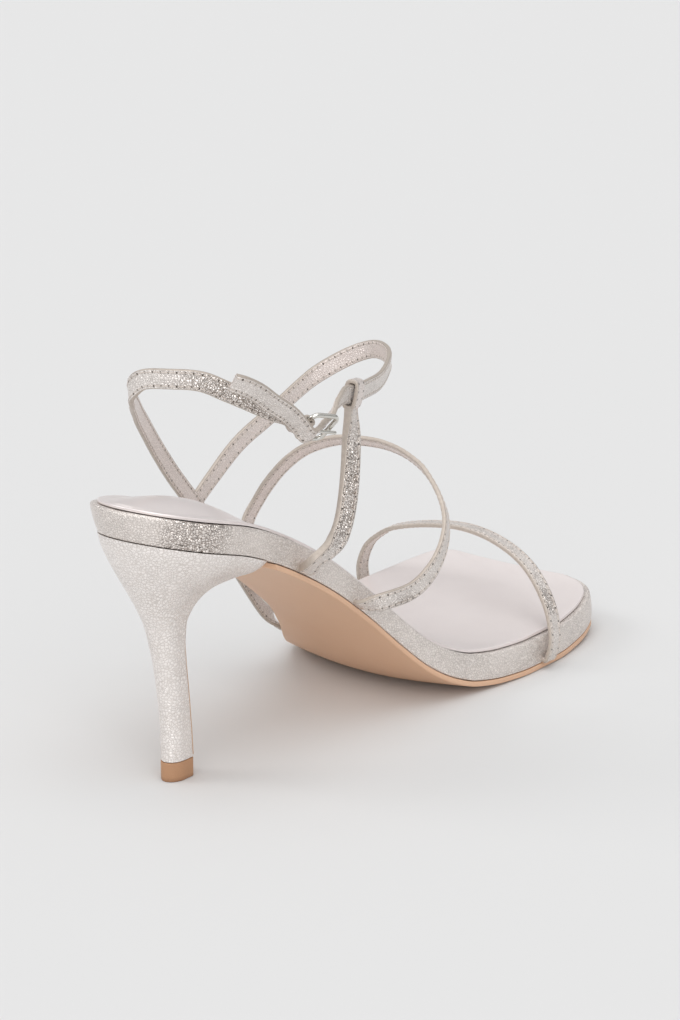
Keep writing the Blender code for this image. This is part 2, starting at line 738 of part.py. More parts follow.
# Straps that are joined where they cross
pass_spots = []
for row in rows_of(PASS_COLUMNS, PASS_ROWS):
    place = buckle_place(row.ahead * BUCKLE_LENGTH / 2, 0.0, row.out * BUCKLE_WIRE)
    pass_spots.append(Spot(place, buckle_up))
ankle_spots = (foot_spots(ANKLE_FOOT_SHARE, 1, sense=-1) + [strap_spot(row) for row in ANKLE_ROWS]
               + pass_spots + [strap_spot(row) for row in FREE_END_ROWS])
fold_radius = BUCKLE_WIRE / 2 + CLEAR + FOLD_WALL / 2
sling_start = [Spot(buckle_place(-bar_ahead - fold_radius, 0.0, 0.0), buckle_up),
               Spot(buckle_place(-bar_ahead - 2 * fold_radius, 0.0, 0.0), buckle_up)]
sling_spots = (sling_start + [strap_spot(row) for row in SLING_ROWS]
               + foot_spots(UPRIGHT_FOOT_SHARE, 1)[::-1])
instep_spots = (foot_spots(INSTEP_OUTER_FOOT_SHARE, -1) + [strap_spot(row) for row in INSTEP_ROWS]
                + foot_spots(INSTEP_INNER_FOOT_SHARE, 1)[::-1])
fold_spots = []
for k in range(12):
    angle = math.radians(30 * k)
    fold_spots.append(Spot(buckle_place(-bar_ahead + fold_radius * math.cos(angle), 0.0,
                                        fold_radius * math.sin(angle)), buckle_up))

strap_upper = strap("strap_upper", ankle_spots, STRAP_THICK, strap_leather)
sling = strap("sling", sling_spots, STRAP_THICK, strap_leather, cutter=True)
instep = strap("instep", instep_spots, STRAP_THICK, strap_leather, cutter=True)
fold = strap("buckle_fold", fold_spots, FOLD_WALL, strap_leather, cutter=True, closed=True,
             step=STRAP_STEP / 2)
combine(strap_upper, sling, "UNION")
combine(strap_upper, instep, "UNION")
combine(strap_upper, fold, "UNION")
combine(strap_upper, prong_room, "DIFFERENCE")

# Outer upright, folded to a loop round the ankle strap
loop_middle, loop_up, loop_run = frame_at(ankle_spots, strap_spot(LOOP_ROW).place)
loop_out = loop_run.cross(loop_up).normalized()
loop_half_up = STRAP_WIDTH / 2 + LOOP_GAP + LOOP_WALL / 2
loop_half_out = STRAP_THICK / 2 + LOOP_GAP + LOOP_WALL / 2
loop_spots = []
for k in range(16):
    angle = math.radians(22.5 * k)
    ease = 1 / (abs(math.cos(angle)) ** 4 + abs(math.sin(angle)) ** 4) ** 0.25
    place = (loop_middle + loop_out * loop_half_out * ease * math.cos(angle)
             + loop_up * loop_half_up * ease * math.sin(angle))
    loop_spots.append(Spot(place, -loop_run))
riser_spots = (foot_spots(RISER_FOOT_SHARE, -1, thick=RISER_THICK)
               + [strap_spot(row) for row in RISER_ROWS]
               + [Spot(loop_middle - loop_up * loop_half_up, -loop_run)])
strap_riser = strap("strap_riser", riser_spots, RISER_THICK, riser_leather)
loop = strap("riser_loop", loop_spots, LOOP_WALL, riser_leather, cutter=True, closed=True,
             step=STRAP_STEP / 2)
combine(strap_riser, loop, "UNION")

# Toe strap
toe_spots = (foot_spots(TOE_INNER_FOOT_SHARE, 1) + [strap_spot(row) for row in TOE_ROWS]
             + foot_spots(TOE_OUTER_FOOT_SHARE, -1)[::-1])
strap("strap_toe", toe_spots, STRAP_THICK, toe_leather)

# Rooms in the footbed for the straps' lasted ends: each strap's own run, grown by the clearance
for name, spots, thick in (
        ("ankle_room", ankle_spots[:7], STRAP_THICK),
        ("upright_room", sling_spots[-7:][::-1], STRAP_THICK),
        ("riser_room", riser_spots[:7], RISER_THICK),
        ("instep_outer_room", instep_spots[:7], STRAP_THICK),
        ("instep_inner_room", instep_spots[-7:][::-1], STRAP_THICK),
        ("toe_inner_room", toe_spots[:7], STRAP_THICK),
        ("toe_outer_room", toe_spots[-7:][::-1], STRAP_THICK)):
    inward = (spots[0].place - spots[1].place).normalized()
    grown = [Spot(spots[0].place + inward * ROOM_GAP, spots[0].wide)] + spots[1:]
    room = strap(name, grown, thick + 2 * ROOM_GAP, rand_leather, cutter=True,
                 width=STRAP_WIDTH + 2 * ROOM_GAP)
    combine(footbed, room, "DIFFERENCE")
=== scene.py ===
import math

import bmesh
import bpy
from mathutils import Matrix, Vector


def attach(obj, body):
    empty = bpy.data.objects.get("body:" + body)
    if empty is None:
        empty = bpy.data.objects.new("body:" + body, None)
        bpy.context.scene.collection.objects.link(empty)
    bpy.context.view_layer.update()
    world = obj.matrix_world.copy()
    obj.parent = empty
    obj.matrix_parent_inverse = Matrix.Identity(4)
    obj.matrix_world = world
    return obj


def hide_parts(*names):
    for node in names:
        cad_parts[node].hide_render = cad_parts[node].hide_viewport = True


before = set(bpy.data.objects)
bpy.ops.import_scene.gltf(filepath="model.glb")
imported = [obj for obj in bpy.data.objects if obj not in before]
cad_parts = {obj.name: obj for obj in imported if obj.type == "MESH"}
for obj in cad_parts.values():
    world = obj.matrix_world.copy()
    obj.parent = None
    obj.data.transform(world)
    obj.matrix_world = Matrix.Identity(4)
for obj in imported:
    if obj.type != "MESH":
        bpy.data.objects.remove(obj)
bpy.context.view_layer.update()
MM = 0.001

# Studio: a pale seamless floor under soft light, with the camera where the photograph's was,
# behind the heel and to the outer side, turned so that the whole shoe is in view.


def linear(hex_color):
    """sRGB hex colour as linear RGBA."""
    channels = [int(hex_color[i:i + 2], 16) / 255 for i in (1, 3, 5)]
    return (*[c / 12.92 if c <= 0.04045 else ((c + 0.055) / 1.055) ** 2.4 for c in channels], 1.0)


def node(tree, kind, inputs=None, **settings):
    """Add a node with its settings, and set or link its inputs."""
    made = tree.nodes.new(kind)
    for name, value in settings.items():
        setattr(made, name, value)
    for name, value in (inputs or {}).items():
        if isinstance(value, bpy.types.NodeSocket):
            tree.links.new(value, made.inputs[name])
        else:
            made.inputs[name].default_value = value
    return made


CAMERA_PLACE = Vector((-0.6953, -0.5856, 0.3624))
CAMERA_AIM = Vector((0.0905, 0.0045, 0.063))
CAMERA_LENS = 111.8
camera = bpy.data.objects.new("camera", bpy.data.cameras.new("camera"))
camera.data.lens = CAMERA_LENS
camera.data.sensor_width = 36.0
camera.location = CAMERA_PLACE
camera.rotation_euler = (CAMERA_AIM - CAMERA_PLACE).to_track_quat("-Z", "Y").to_euler()
camera.data.clip_start = 0.01
bpy.context.scene.collection.objects.link(camera)
bpy.context.scene.camera = camera
bpy.context.scene.view_settings.view_transform = "Standard"

floor_mesh = bpy.data.meshes.new("studio_floor")
floor_bm = bmesh.new()
bmesh.ops.create_grid(floor_bm, x_segments=1, y_segments=1, size=6.0)
floor_bm.to_mesh(floor_mesh)
floor_bm.free()
floor = bpy.data.objects.new("studio_floor", floor_mesh)
bpy.context.scene.collection.objects.link(floor)
floor_paper = bpy.data.materials.new("matt_background_paper")
floor_paper.use_nodes = True
paper_shader = floor_paper.node_tree.nodes["Principled BSDF"]
paper_shader.inputs["Base Color"].default_value = linear("#DADADA")
paper_shader.inputs["Roughness"].default_value = 1.0
paper_shader.inputs["Specular IOR Level"].default_value = 0.0
floor_mesh.materials.append(floor_paper)


def soft_sun(name, direction, angle, strength):
    """A far, broad light that shines along a direction, angle degrees across."""
    light = bpy.data.lights.new(name, "SUN")
    light.angle = math.radians(angle)
    light.energy = strength
    lamp = bpy.data.objects.new(name, light)
    lamp.rotation_euler = Vector(direction).to_track_quat("-Z", "Y").to_euler()
    bpy.context.scene.collection.objects.link(lamp)


soft_sun("overhead_light", (0.15, 0.1, -1.0), angle=50, strength=0.8)
soft_sun("side_light", (0.55, -0.75, -0.7), angle=25, strength=0.5)
soft_sun("fill_from_camera", (0.75, 0.6, -0.45), angle=60, strength=1.05)

# The room round the set: pale overhead, darker near the horizon, which the foil mirrors.
world = bpy.data.worlds.new("studio_room")
bpy.context.scene.world = world
world.use_nodes = True
room = world.node_tree
sky = node(room, "ShaderNodeTexCoord")
height = node(room, "ShaderNodeSeparateXYZ", {"Vector": sky.outputs["Generated"]})
room_ramp = node(room, "ShaderNodeValToRGB", {"Fac": height.outputs["Z"]})
room_ramp.color_ramp.elements[0].position = 0.0
room_ramp.color_ramp.elements[0].color = linear("#B9B9BA")
room_ramp.color_ramp.elements[1].position = 0.7
room_ramp.color_ramp.elements[1].color = linear("#F6F6F6")
for position, shade in ((0.14, "#8C8C8E"), (0.30, "#C8C8C9")):
    room_ramp.color_ramp.elements.new(position).color = linear(shade)
room.links.new(room_ramp.outputs["Color"], room.nodes["Background"].inputs["Color"])
room.nodes["Background"].inputs["Strength"].default_value = 0.8


# Footbed: an insole board cut to the last, its thick edge wrapped in crackled silver foil
# leather. The wrap turns over a sharp edge on top and is lasted under at the bottom.
SOLE_LENGTH = 226.6 * MM
HEEL_SETBACK = 23.6 * MM
SEAT_HEIGHT = 82.5 * MM
SEAT_WIDTH = 46.4 * MM
SEAT_ROUND = 30.6 * MM
BALL_WIDTH = 87.0 * MM
CLEAR = 0.3 * MM
OUTSOLE_THICK = 1.8 * MM
RAND_HEIGHT = 9.1 * MM
RAND_FLARE = 2.0 * MM
CROWN = 4.0 * MM
DISH = 0.4                     # share of the crown that shows on the footbed's top
# Sections of the sole. share: of SOLE_LENGTH. height: footbed's lower edge, of SEAT_HEIGHT.
# outer, inner: half widths, of half of BALL_WIDTH. crown: of CROWN. flare: of RAND_FLARE.
SOLE_COLUMNS = ("share", "height", "outer", "inner", "crown", "flare")
SOLE_ROWS = [
    (0.000, 1.000, 0.530, 0.530, 0.00, 1.00),
    (0.060, 0.955, 0.533, 0.533, 0.00, 1.00),
    (0.135, 0.898, 0.533, 0.535, 0.00, 0.95),
    (0.213, 0.806, 0.522, 0.505, 0.05, 0.60),
    (0.320, 0.640, 0.524, 0.476, 0.30, 0.30),
    (0.426, 0.424, 0.535, 0.500, 0.60, 0.10),
    (0.480, 0.290, 0.578, 0.600, 0.80, 0.00),
    (0.532, 0.168, 0.652, 0.762, 1.00, -0.10),
    (0.575, 0.100, 0.706, 0.905, 0.90, -0.20),
    (0.620, 0.056, 0.753, 1.030, 0.65, -0.25),
    (0.680, 0.034, 0.803, 1.125, 0.42, -0.25),
    (0.740, 0.029, 0.832, 1.165, 0.35, -0.25),
    (0.810, 0.030, 0.830, 1.160, 0.38, -0.25),
    (0.880, 0.040, 0.785, 1.125, 0.45, -0.25),
    (0.940, 0.055, 0.690, 1.070, 0.50, -0.25),
    (0.970, 0.064, 0.585, 1.020, 0.50, -0.25),
    (0.988, 0.070, 0.455, 0.950, 0.50, -0.25),
    (1.000, 0.074, 0.270, 0.810, 0.50, -0.25),
]


def monotone(knots, values, at):
    """Smooth curve through the knots that never overshoots a row."""
    at = min(max(at, knots[0]), knots[-1])
    steps = [b - a for a, b in zip(knots, knots[1:])]
    rises = [(b - a) / step for a, b, step in zip(values, values[1:], steps)]
    slopes = [rises[0]]
    for before, after in zip(rises, rises[1:]):
        slopes.append(0.0 if before * after <= 0 else 2 * before * after / (before + after))
    slopes.append(rises[-1])
    i = 0
    while i < len(steps) - 1 and at > knots[i + 1]:
        i += 1
    t = (at - knots[i]) / steps[i]
    start = (1 + 2 * t) * (1 - t) ** 2 * values[i] + t * (1 - t) ** 2 * steps[i] * slopes[i]
    end = t * t * (3 - 2 * t) * values[i + 1] - t * t * (1 - t) * steps[i] * slopes[i + 1]
    return start + end


sole_columns = {name: [row[i] for row in SOLE_ROWS] for i, name in enumerate(SOLE_COLUMNS)}


def sole_value(name, share):
    """A column of the sole's table, between rows too."""
    return monotone(sole_columns["share"], sole_columns[name], share)


def share_at(x):
    """Share of the sole's length at x."""
    return min(max((x + HEEL_SETBACK) / SOLE_LENGTH, 0.0), 1.0)


def edge_height(share):
    """Height of the footbed's lower edge."""
    return sole_value("height", share) * SEAT_HEIGHT


def half_width(share, side):
    """Half width of the sole: the table's, the seat's before the waist, rounded at the rear."""
    width = sole_value("inner" if side > 0 else "outer", share) * BALL_WIDTH / 2
    seat_end, waist = SOLE_ROWS[2][0], SOLE_ROWS[3][0]
    blend = min(max((share - seat_end) / (waist - seat_end), 0.0), 1.0)
    width = SEAT_WIDTH / 2 * (1 - blend) + width * blend
    reach = share * SOLE_LENGTH / SEAT_ROUND
    if reach < 1:
        width *= math.sqrt(max(1 - (1 - reach) ** 2, 0.0))
    return width


def sole_edge(share, side):
    """A place on the sole's outline in plan. side is 1 on the inner side and -1 on the outer."""
    return Vector((share * SOLE_LENGTH - HEEL_SETBACK, side * half_width(share, side)))


def seam_height(x, y, crown=1.0):
    """Height of the footbed's underside over a place in plan, or of its dished top."""
    share = share_at(x)
    outer, inner = half_width(share, -1), half_width(share, 1)
    across = min(max((y + outer) / max(outer + inner, MM), 0.0), 1.0)
    room_below = max(edge_height(share) - OUTSOLE_THICK - CLEAR, 0.0)
    bulge = min(sole_value("crown", share) * CROWN * 4 * across * (1 - across), room_below)
    return edge_height(share) - crown * bulge


SIDE_STEPS = 150
END_STEPS = 24
SPINE_INSET = 0.06             # share of the length that the middle line stops short of each end


def sole_loop(first=0.0):
    """Places round the sole: (plan point, outward direction, middle point, share). The steps are
    closer at both ends, where the outline turns."""
    spread = []
    for k in range(SIDE_STEPS + 1):
        t = k / SIDE_STEPS
        ease = t - 0.9 * math.sin(2 * math.pi * t) / (2 * math.pi)
        spread.append(first + (1.0 - first) * ease)
    walk = [(share, -1.0) for share in spread]
    walk += [(1.0, -1.0 + 2.0 * k / END_STEPS) for k in range(1, END_STEPS)]
    walk += [(share, 1.0) for share in reversed(spread) if share > 0.0]
    if first > 0.0:
        walk += [(first, 1.0 - 2.0 * k / END_STEPS) for k in range(1, END_STEPS)]
    edges = []
    for share, side in walk:
        outer, inner = sole_edge(share, -1), sole_edge(share, 1)
        spine = min(max(share, first + SPINE_INSET), 1.0 - SPINE_INSET)
        middle = sole_edge(spine, -1).lerp(sole_edge(spine, 1), 0.5)
        edges.append((outer.lerp(inner, (side + 1) / 2), middle, share))
    loop = []
    for i, (place, middle, share) in enumerate(edges):
        run = edges[(i + 2) % len(edges)][0] - edges[i - 2][0]
        loop.append((place, Vector((run.y, -run.x)).normalized(), middle, share))
    return loop


def grid_surface(bm, across, along, place, uv_of=None, slot_of=None):
    """Bend a flat grid: place(column, row) gives a corner's position, uv_of its UV, and slot_of
    a face's material."""
    made = bmesh.ops.create_grid(bm, x_segments=across, y_segments=along, size=0.5)
    uv = bm.loops.layers.uv.verify()
    spots = {}
    for vert in made["verts"]:
        spots[vert] = (round((vert.co.x + 0.5) * across), round((vert.co.y + 0.5) * along))
    faces = {face for vert in made["verts"] for face in vert.link_faces}
    for face in faces:
        columns = [spots[vert][0] for vert in face.verts]
        rows = [spots[vert][1] for vert in face.verts]
        if slot_of:
            face.material_index = slot_of(min(columns), min(rows))
        for loop in face.loops:
            column, row = spots[loop.vert]
            loop[uv].uv = uv_of(column, row) if uv_of else (column, row)
        face.smooth = True
    for vert, (column, row) in spots.items():
        vert.co = place(column, row)


def finish_piece(name, bm, materials, slot, *nodes, sharp=40.0):
    """Close, orient and shade a piece, and let it ride on the body for its CAD nodes."""
    bmesh.ops.remove_doubles(bm, verts=bm.verts, dist=0.000004)
    bmesh.ops.dissolve_degenerate(bm, edges=bm.edges, dist=0.000002)
    bmesh.ops.recalc_face_normals(bm, faces=bm.faces)
    mesh = bpy.data.meshes.new(name)
    bm.to_mesh(mesh)
    bm.free()
    mesh.set_sharp_from_angle(angle=math.radians(sharp))
    piece = bpy.data.objects.new(name, mesh)
    bpy.context.scene.collection.objects.link(piece)
    for material in materials:
        mesh.materials.append(material)
    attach(piece, "root")
    if nodes:
        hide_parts(*nodes)
    return piece


def slab(bm, loop, profile, dome=None, slot_of=None):
    """A layer in the sole's outline. A profile point is (flare, out, lift, crown, inward):
    its share of the rand's flare, distance from the outline, height over the seam, share of the
    crown, and how far it goes on towards the sole's middle."""
    def place(column, row):
        spot, outward, middle, share = loop[column % len(loop)]
        flare, out, lift, crown, inward = profile[row]
        reach = out + flare * sole_value("flare", share) * RAND_FLARE
        at = (spot + outward * reach).lerp(middle, inward)
        height = seam_height(at.x, at.y, crown) + lift
        if dome and row > len(profile) // 3:
            height += dome(at.x, at.y)
        return Vector((at.x, at.y, height))
    grid_surface(bm, len(loop), len(profile) - 1, place, slot_of=slot_of)


def material_of(name, build):
    """A material whose surface shader is given its inputs by a function."""
    material = bpy.data.materials.new(name)
    material.use_nodes = True
    tree = material.node_tree
    build(tree, tree.nodes["Principled BSDF"])
    return material


def in_millimetres(tree):
    """Object coordinates in millimetres."""
    coordinates = node(tree, "ShaderNodeTexCoord")
    return node(tree, "ShaderNodeVectorMath", {0: coordinates.outputs["Object"],
                                               "Scale": 1000.0}, operation="SCALE").outputs[0]


STITCH_PITCH = 2.3 * MM
STITCH_INSET = 0.95 * MM
STRAP_WIDTH = 6.0 * MM
# A needle hole's dark colour is painted shade, strongest inside its core.
HOLE_CORE = 0.22               # millimetres: a needle hole is darkest inside this radius
HOLE_RIM = 0.44                # and ends at this one, drawn wide so that it shows
NO_GLINT = (0.0, 0.0, 1000.0)  # a metre up, on no piece


def needle_holes(tree):
    """1 at a strap's needle holes, 0 elsewhere, from its UV in millimetres."""
    spot = node(tree, "ShaderNodeSeparateXYZ",
                {"Vector": node(tree, "ShaderNodeTexCoord").outputs["UV"]})
    across = node(tree, "ShaderNodeMath", {0: spot.outputs["X"]}, operation="ABSOLUTE")
    aside = node(tree, "ShaderNodeMath", {0: across.outputs[0],
                                          1: (STRAP_WIDTH / 2 - STITCH_INSET) / MM},
                 operation="SUBTRACT")
    along = node(tree, "ShaderNodeMath", {0: spot.outputs["Y"], 1: STITCH_PITCH / MM / 2},
                 operation="PINGPONG")
    place = node(tree, "ShaderNodeCombineXYZ", {"X": aside.outputs[0], "Y": along.outputs[0]})
    reach = node(tree, "ShaderNodeVectorMath", {0: place.outputs[0]}, operation="LENGTH")
    return node(tree, "ShaderNodeMapRange", {"Value": reach.outputs["Value"],
                                             "From Min": HOLE_CORE, "From Max": HOLE_RIM,
                                             "To Min": 1.0, "To Max": 0.0},
                interpolation_type="SMOOTHSTEP").outputs[0]


def crackled_foil(face, crack, cell, depth, glint_at=NO_GLINT, glint_reach=1.0, chipped=0.9,
                  stitched=False):
    """Foil-coated leather, pressed with a fine pebble: bright cells between thin dull cracks.
    Cells are tilted like chips of mirror, most of all round glint_at, where more of the dull crack
    colour is painted in as a painted reflection of dark surroundings. Cells are drawn larger
    than the real ones so that they show. Lengths in millimetres, but for the pebble's depth."""
    def build(tree, shader):
        place = in_millimetres(tree)
        stir = node(tree, "ShaderNodeTexNoise", {"Vector": place, "Scale": 0.9 / cell,
                                                 "Detail": 1.0})
        shift = node(tree, "ShaderNodeVectorMath", {0: stir.outputs["Color"],
                                                    "Scale": 0.5 * cell}, operation="SCALE")
        warped = node(tree, "ShaderNodeVectorMath", {0: place, 1: shift.outputs[0]},
                      operation="ADD").outputs[0]
        cells = node(tree, "ShaderNodeTexVoronoi", {"Vector": warped, "Scale": 1.0 / cell},
                     feature="DISTANCE_TO_EDGE")
        chips = node(tree, "ShaderNodeTexVoronoi", {"Vector": warped, "Scale": 1.0 / cell})
        dome = node(tree, "ShaderNodeMapRange", {"Value": cells.outputs["Distance"],
                                                 "From Min": 0.0, "From Max": 0.3},
                    interpolation_type="SMOOTHSTEP")
        line = node(tree, "ShaderNodeMapRange", {"Value": cells.outputs["Distance"],
                                                 "From Min": 0.02, "From Max": 0.16,
                                                 "To Min": 1.0, "To Max": 0.0})
        # Painted reflection: round glint_at the dull crack colour is painted in more strongly,
        # standing in for dark surroundings mirrored in the foil; gloss, metal and chip tilt also
        # rise there.
        away = node(tree, "ShaderNodeVectorMath", {0: place, 1: glint_at}, operation="DISTANCE")
        near = node(tree, "ShaderNodeMapRange", {"Value": away.outputs["Value"],
                                                 "From Min": 0.15 * glint_reach,
                                                 "From Max": glint_reach,
                                                 "To Min": 1.0, "To Max": 0.0},
                    interpolation_type="SMOOTHSTEP")
        patch = node(tree, "ShaderNodeTexNoise", {"Vector": place, "Scale": 0.10, "Detail": 2.0})
        wear = node(tree, "ShaderNodeMapRange", {"Value": patch.outputs["Fac"],
                                                 "From Min": 0.35, "From Max": 0.65,
                                                 "To Min": 0.32, "To Max": 0.46})
        # Share of crack colour: a random patchy tone, raised to the full painted reflection round
        # glint_at.
        crack_and_glint_share = node(tree, "ShaderNodeMath", {0: wear.outputs[0], 1: near.outputs[0]},
                          operation="MAXIMUM")
        crack_and_glint_lines = node(tree, "ShaderNodeMath", {0: line.outputs[0], 1: crack_and_glint_share.outputs[0]},
                       operation="MULTIPLY")
        color = node(tree, "ShaderNodeMix", {"Factor": crack_and_glint_lines.outputs[0],
                                             "A": linear(face), "B": linear(crack)},
                     data_type="RGBA")
        gloss = node(tree, "ShaderNodeMapRange", {"Value": crack_and_glint_share.outputs[0],
                                                  "To Min": 0.42, "To Max": 0.16})
        metal = node(tree, "ShaderNodeMapRange", {"Value": crack_and_glint_share.outputs[0],
                                                  "From Min": 0.25, "From Max": 1.0,
                                                  "To Min": 0.45, "To Max": 0.95})
        tilt = node(tree, "ShaderNodeVectorMath", {0: chips.outputs["Color"],
                                                   1: (0.5, 0.5, 0.5)}, operation="SUBTRACT")
        tilt_size = node(tree, "ShaderNodeMath", {0: crack_and_glint_share.outputs[0], 1: chipped},
                         operation="MULTIPLY")
        tilted = node(tree, "ShaderNodeVectorMath", {0: tilt.outputs[0],
                                                     "Scale": tilt_size.outputs[0]},
                      operation="SCALE")
        turned = node(tree, "ShaderNodeVectorMath", {
            0: node(tree, "ShaderNodeNewGeometry").outputs["Normal"], 1: tilted.outputs[0]},
            operation="ADD")
        chip_normal = node(tree, "ShaderNodeVectorMath", {0: turned.outputs[0]},
                           operation="NORMALIZE")
        relief = dome.outputs[0]
        # Painted shade: the needle holes are painted dark brown-grey for the shade inside them, and
        # also dipped in the bump.
        if stitched:
            holes = needle_holes(tree)
            relief = node(tree, "ShaderNodeMath", {0: relief, 1: holes},
                          operation="SUBTRACT").outputs[0]
            color = node(tree, "ShaderNodeMix", {"Factor": holes, "A": color.outputs["Result"],
                                                 "B": linear("#5E554D")}, data_type="RGBA")
        bump = node(tree, "ShaderNodeBump", {"Height": relief, "Distance": depth,
                                             "Strength": 1.0, "Normal": chip_normal.outputs[0]})
        tree.links.new(color.outputs["Result"], shader.inputs["Base Color"])
        tree.links.new(gloss.outputs[0], shader.inputs["Roughness"])
        tree.links.new(metal.outputs[0], shader.inputs["Metallic"])
        tree.links.new(bump.outputs["Normal"], shader.inputs["Normal"])
    return build


EDGE_TURN = 0.9 * MM           # rounding of the rand's top edge
LASTED_TURN = 0.4 * MM         # rounding of its lower edge
RAND_SWELL = 0.25 * MM         # the wrap bulges a little between its edges
SOCK_RECESS = 0.05 * MM
RECESS_INSET = 0.6 * MM
# The glint patch on the rand's rear outer side is painted reflection: darker cracks painted in
# there, with glossier tilted chips.
rand_foil = material_of("crackled_foil_rand", crackled_foil(
    "#F4ECE6", "#9C9189", cell=0.85, depth=0.12 * MM, glint_at=(-12.0, -21.0, 85.0),
    glint_reach=22.0))
loop = sole_loop()
footbed_bm = bmesh.new()
footbed_profile = [(0.0, 0.0, 0.0, 1.0, 1.0), (0.0, 0.0, 0.0, 1.0, 0.35),
                   (0.0, -LASTED_TURN, 0.0, 1.0, 0.0),
                   (0.0, -0.25 * LASTED_TURN, 0.3 * LASTED_TURN, 1.0, 0.0),
                   (0.0, 0.0, LASTED_TURN, 1.0, 0.0)]
for k in range(1, 8):
    climb = k / 8
    footbed_profile.append((climb, RAND_SWELL * math.sin(math.pi * climb),
                            LASTED_TURN + climb * (RAND_HEIGHT - LASTED_TURN - EDGE_TURN),
                            1.0 - climb * (1 - DISH), 0.0))
for k in range(6):
    turn = math.radians(18 * k)
    footbed_profile.append((1.0, -EDGE_TURN * (1 - math.cos(turn)),
                            RAND_HEIGHT - EDGE_TURN * (1 - math.sin(turn)), DISH, 0.0))
footbed_profile += [(1.0, -EDGE_TURN - RECESS_INSET, RAND_HEIGHT - SOCK_RECESS, DISH, 0.0),
                    (1.0, -EDGE_TURN - RECESS_INSET, RAND_HEIGHT - SOCK_RECESS, DISH, 0.35),
                    (1.0, 0.0, RAND_HEIGHT - SOCK_RECESS, DISH, 1.0)]
slab(footbed_bm, loop, footbed_profile)
finish_piece("footbed_wrap", footbed_bm, [rand_foil], "footbed", "footbed")

# Sock: smooth pale lining leather with a faint metallic finish, glued on the footbed just inside
# its edge, over a soft foam pad under the heel.
SOCK_THICK = 1.0 * MM
SOCK_INSET = 2.2 * MM
PAD_RISE = 3.4 * MM
PAD_LENGTH = 58.0 * MM
PAD_WIDTH = 34.0 * MM
PAD_AT = 0.126                 # the pad's middle, share of SOLE_LENGTH


def heel_pad(x, y):
    """Rise of the soft pad over a place in plan."""
    ahead = (x - PAD_AT * SOLE_LENGTH + HEEL_SETBACK) / (PAD_LENGTH / 2)
    aside = y / (PAD_WIDTH / 2)
    return PAD_RISE * max(1 - ahead * ahead - aside * aside, 0.0) ** 1.2


def smooth_sock(tree, shader):
    """Lining leather: almost no grain, a soft pearly sheen and faint clouds of tone."""
    place = in_millimetres(tree)
    cloud = node(tree, "ShaderNodeTexNoise", {"Vector": place, "Scale": 0.05, "Detail": 3.0})
    color = node(tree, "ShaderNodeMix", {"Factor": cloud.outputs["Fac"],
                                         "A": linear("#F4ECEA"), "B": linear("#E9E0DE")},
                 data_type="RGBA")
    grain = node(tree, "ShaderNodeTexVoronoi", {"Vector": place, "Scale": 1.6},
                 feature="DISTANCE_TO_EDGE")
    bump = node(tree, "ShaderNodeBump", {"Height": grain.outputs["Distance"],
                                         "Distance": 0.02 * MM, "Strength": 0.6})
    tree.links.new(color.outputs["Result"], shader.inputs["Base Color"])
    tree.links.new(bump.outputs["Normal"], shader.inputs["Normal"])
    shader.inputs["Roughness"].default_value = 0.32
    shader.inputs["Metallic"].default_value = 0.35


sock_leather = material_of("smooth_metallic_lining_leather", smooth_sock)
sock_bm = bmesh.new()
sock_base = RAND_HEIGHT + CLEAR
sock_profile = [(1.0, -SOCK_INSET, sock_base, DISH, 1.0), (1.0, -SOCK_INSET, sock_base, DISH, 0.3),
                (1.0, -SOCK_INSET, sock_base, DISH, 0.0)]
for k in range(7):
    turn = math.radians(15 * k)
    sock_profile.append((1.0, -SOCK_INSET - 0.5 * SOCK_THICK * (1 - math.cos(turn)),
                         sock_base + 0.5 * SOCK_THICK * (1 + math.sin(turn)), DISH, 0.0))
for k in range(1, 25):
    sock_profile.append((1.0, -SOCK_INSET - 0.5 * SOCK_THICK, sock_base + SOCK_THICK, DISH,
                         k / 24))
slab(sock_bm, loop, sock_profile, dome=heel_pad)
sock = finish_piece("padded_sock", sock_bm, [sock_leather], "insole_sock", "insole_sock")

# Outsole: a thin sheet of tan leatherboard cemented under the lasted footbed from the heel's
# front to the toe, its cut edge burnished to a paler line.
BREAST = 20.6 * MM
BREAST_THICK = 1.0 * MM
OUTSOLE_ROUND = 0.35 * MM


def leatherboard(face, patch):
    """Smooth varnished board with faint clouds and a fine scuff in the gloss."""
    def build(tree, shader):
        place = in_millimetres(tree)
        cloud = node(tree, "ShaderNodeTexNoise", {"Vector": place, "Scale": 0.03, "Detail": 4.0})
        color = node(tree, "ShaderNodeMix", {"Factor": cloud.outputs["Fac"],
                                             "A": linear(face), "B": linear(patch)},
                     data_type="RGBA")
        fine = node(tree, "ShaderNodeTexNoise", {"Vector": place, "Scale": 1.4, "Detail": 5.0})
        gloss = node(tree, "ShaderNodeMapRange", {"Value": fine.outputs["Fac"],
                                                  "To Min": 0.38, "To Max": 0.52})
        bump = node(tree, "ShaderNodeBump", {"Height": fine.outputs["Fac"],
                                             "Distance": 0.01 * MM, "Strength": 0.5})
        tree.links.new(color.outputs["Result"], shader.inputs["Base Color"])
        tree.links.new(gloss.outputs[0], shader.inputs["Roughness"])
        tree.links.new(bump.outputs["Normal"], shader.inputs["Normal"])
    return build


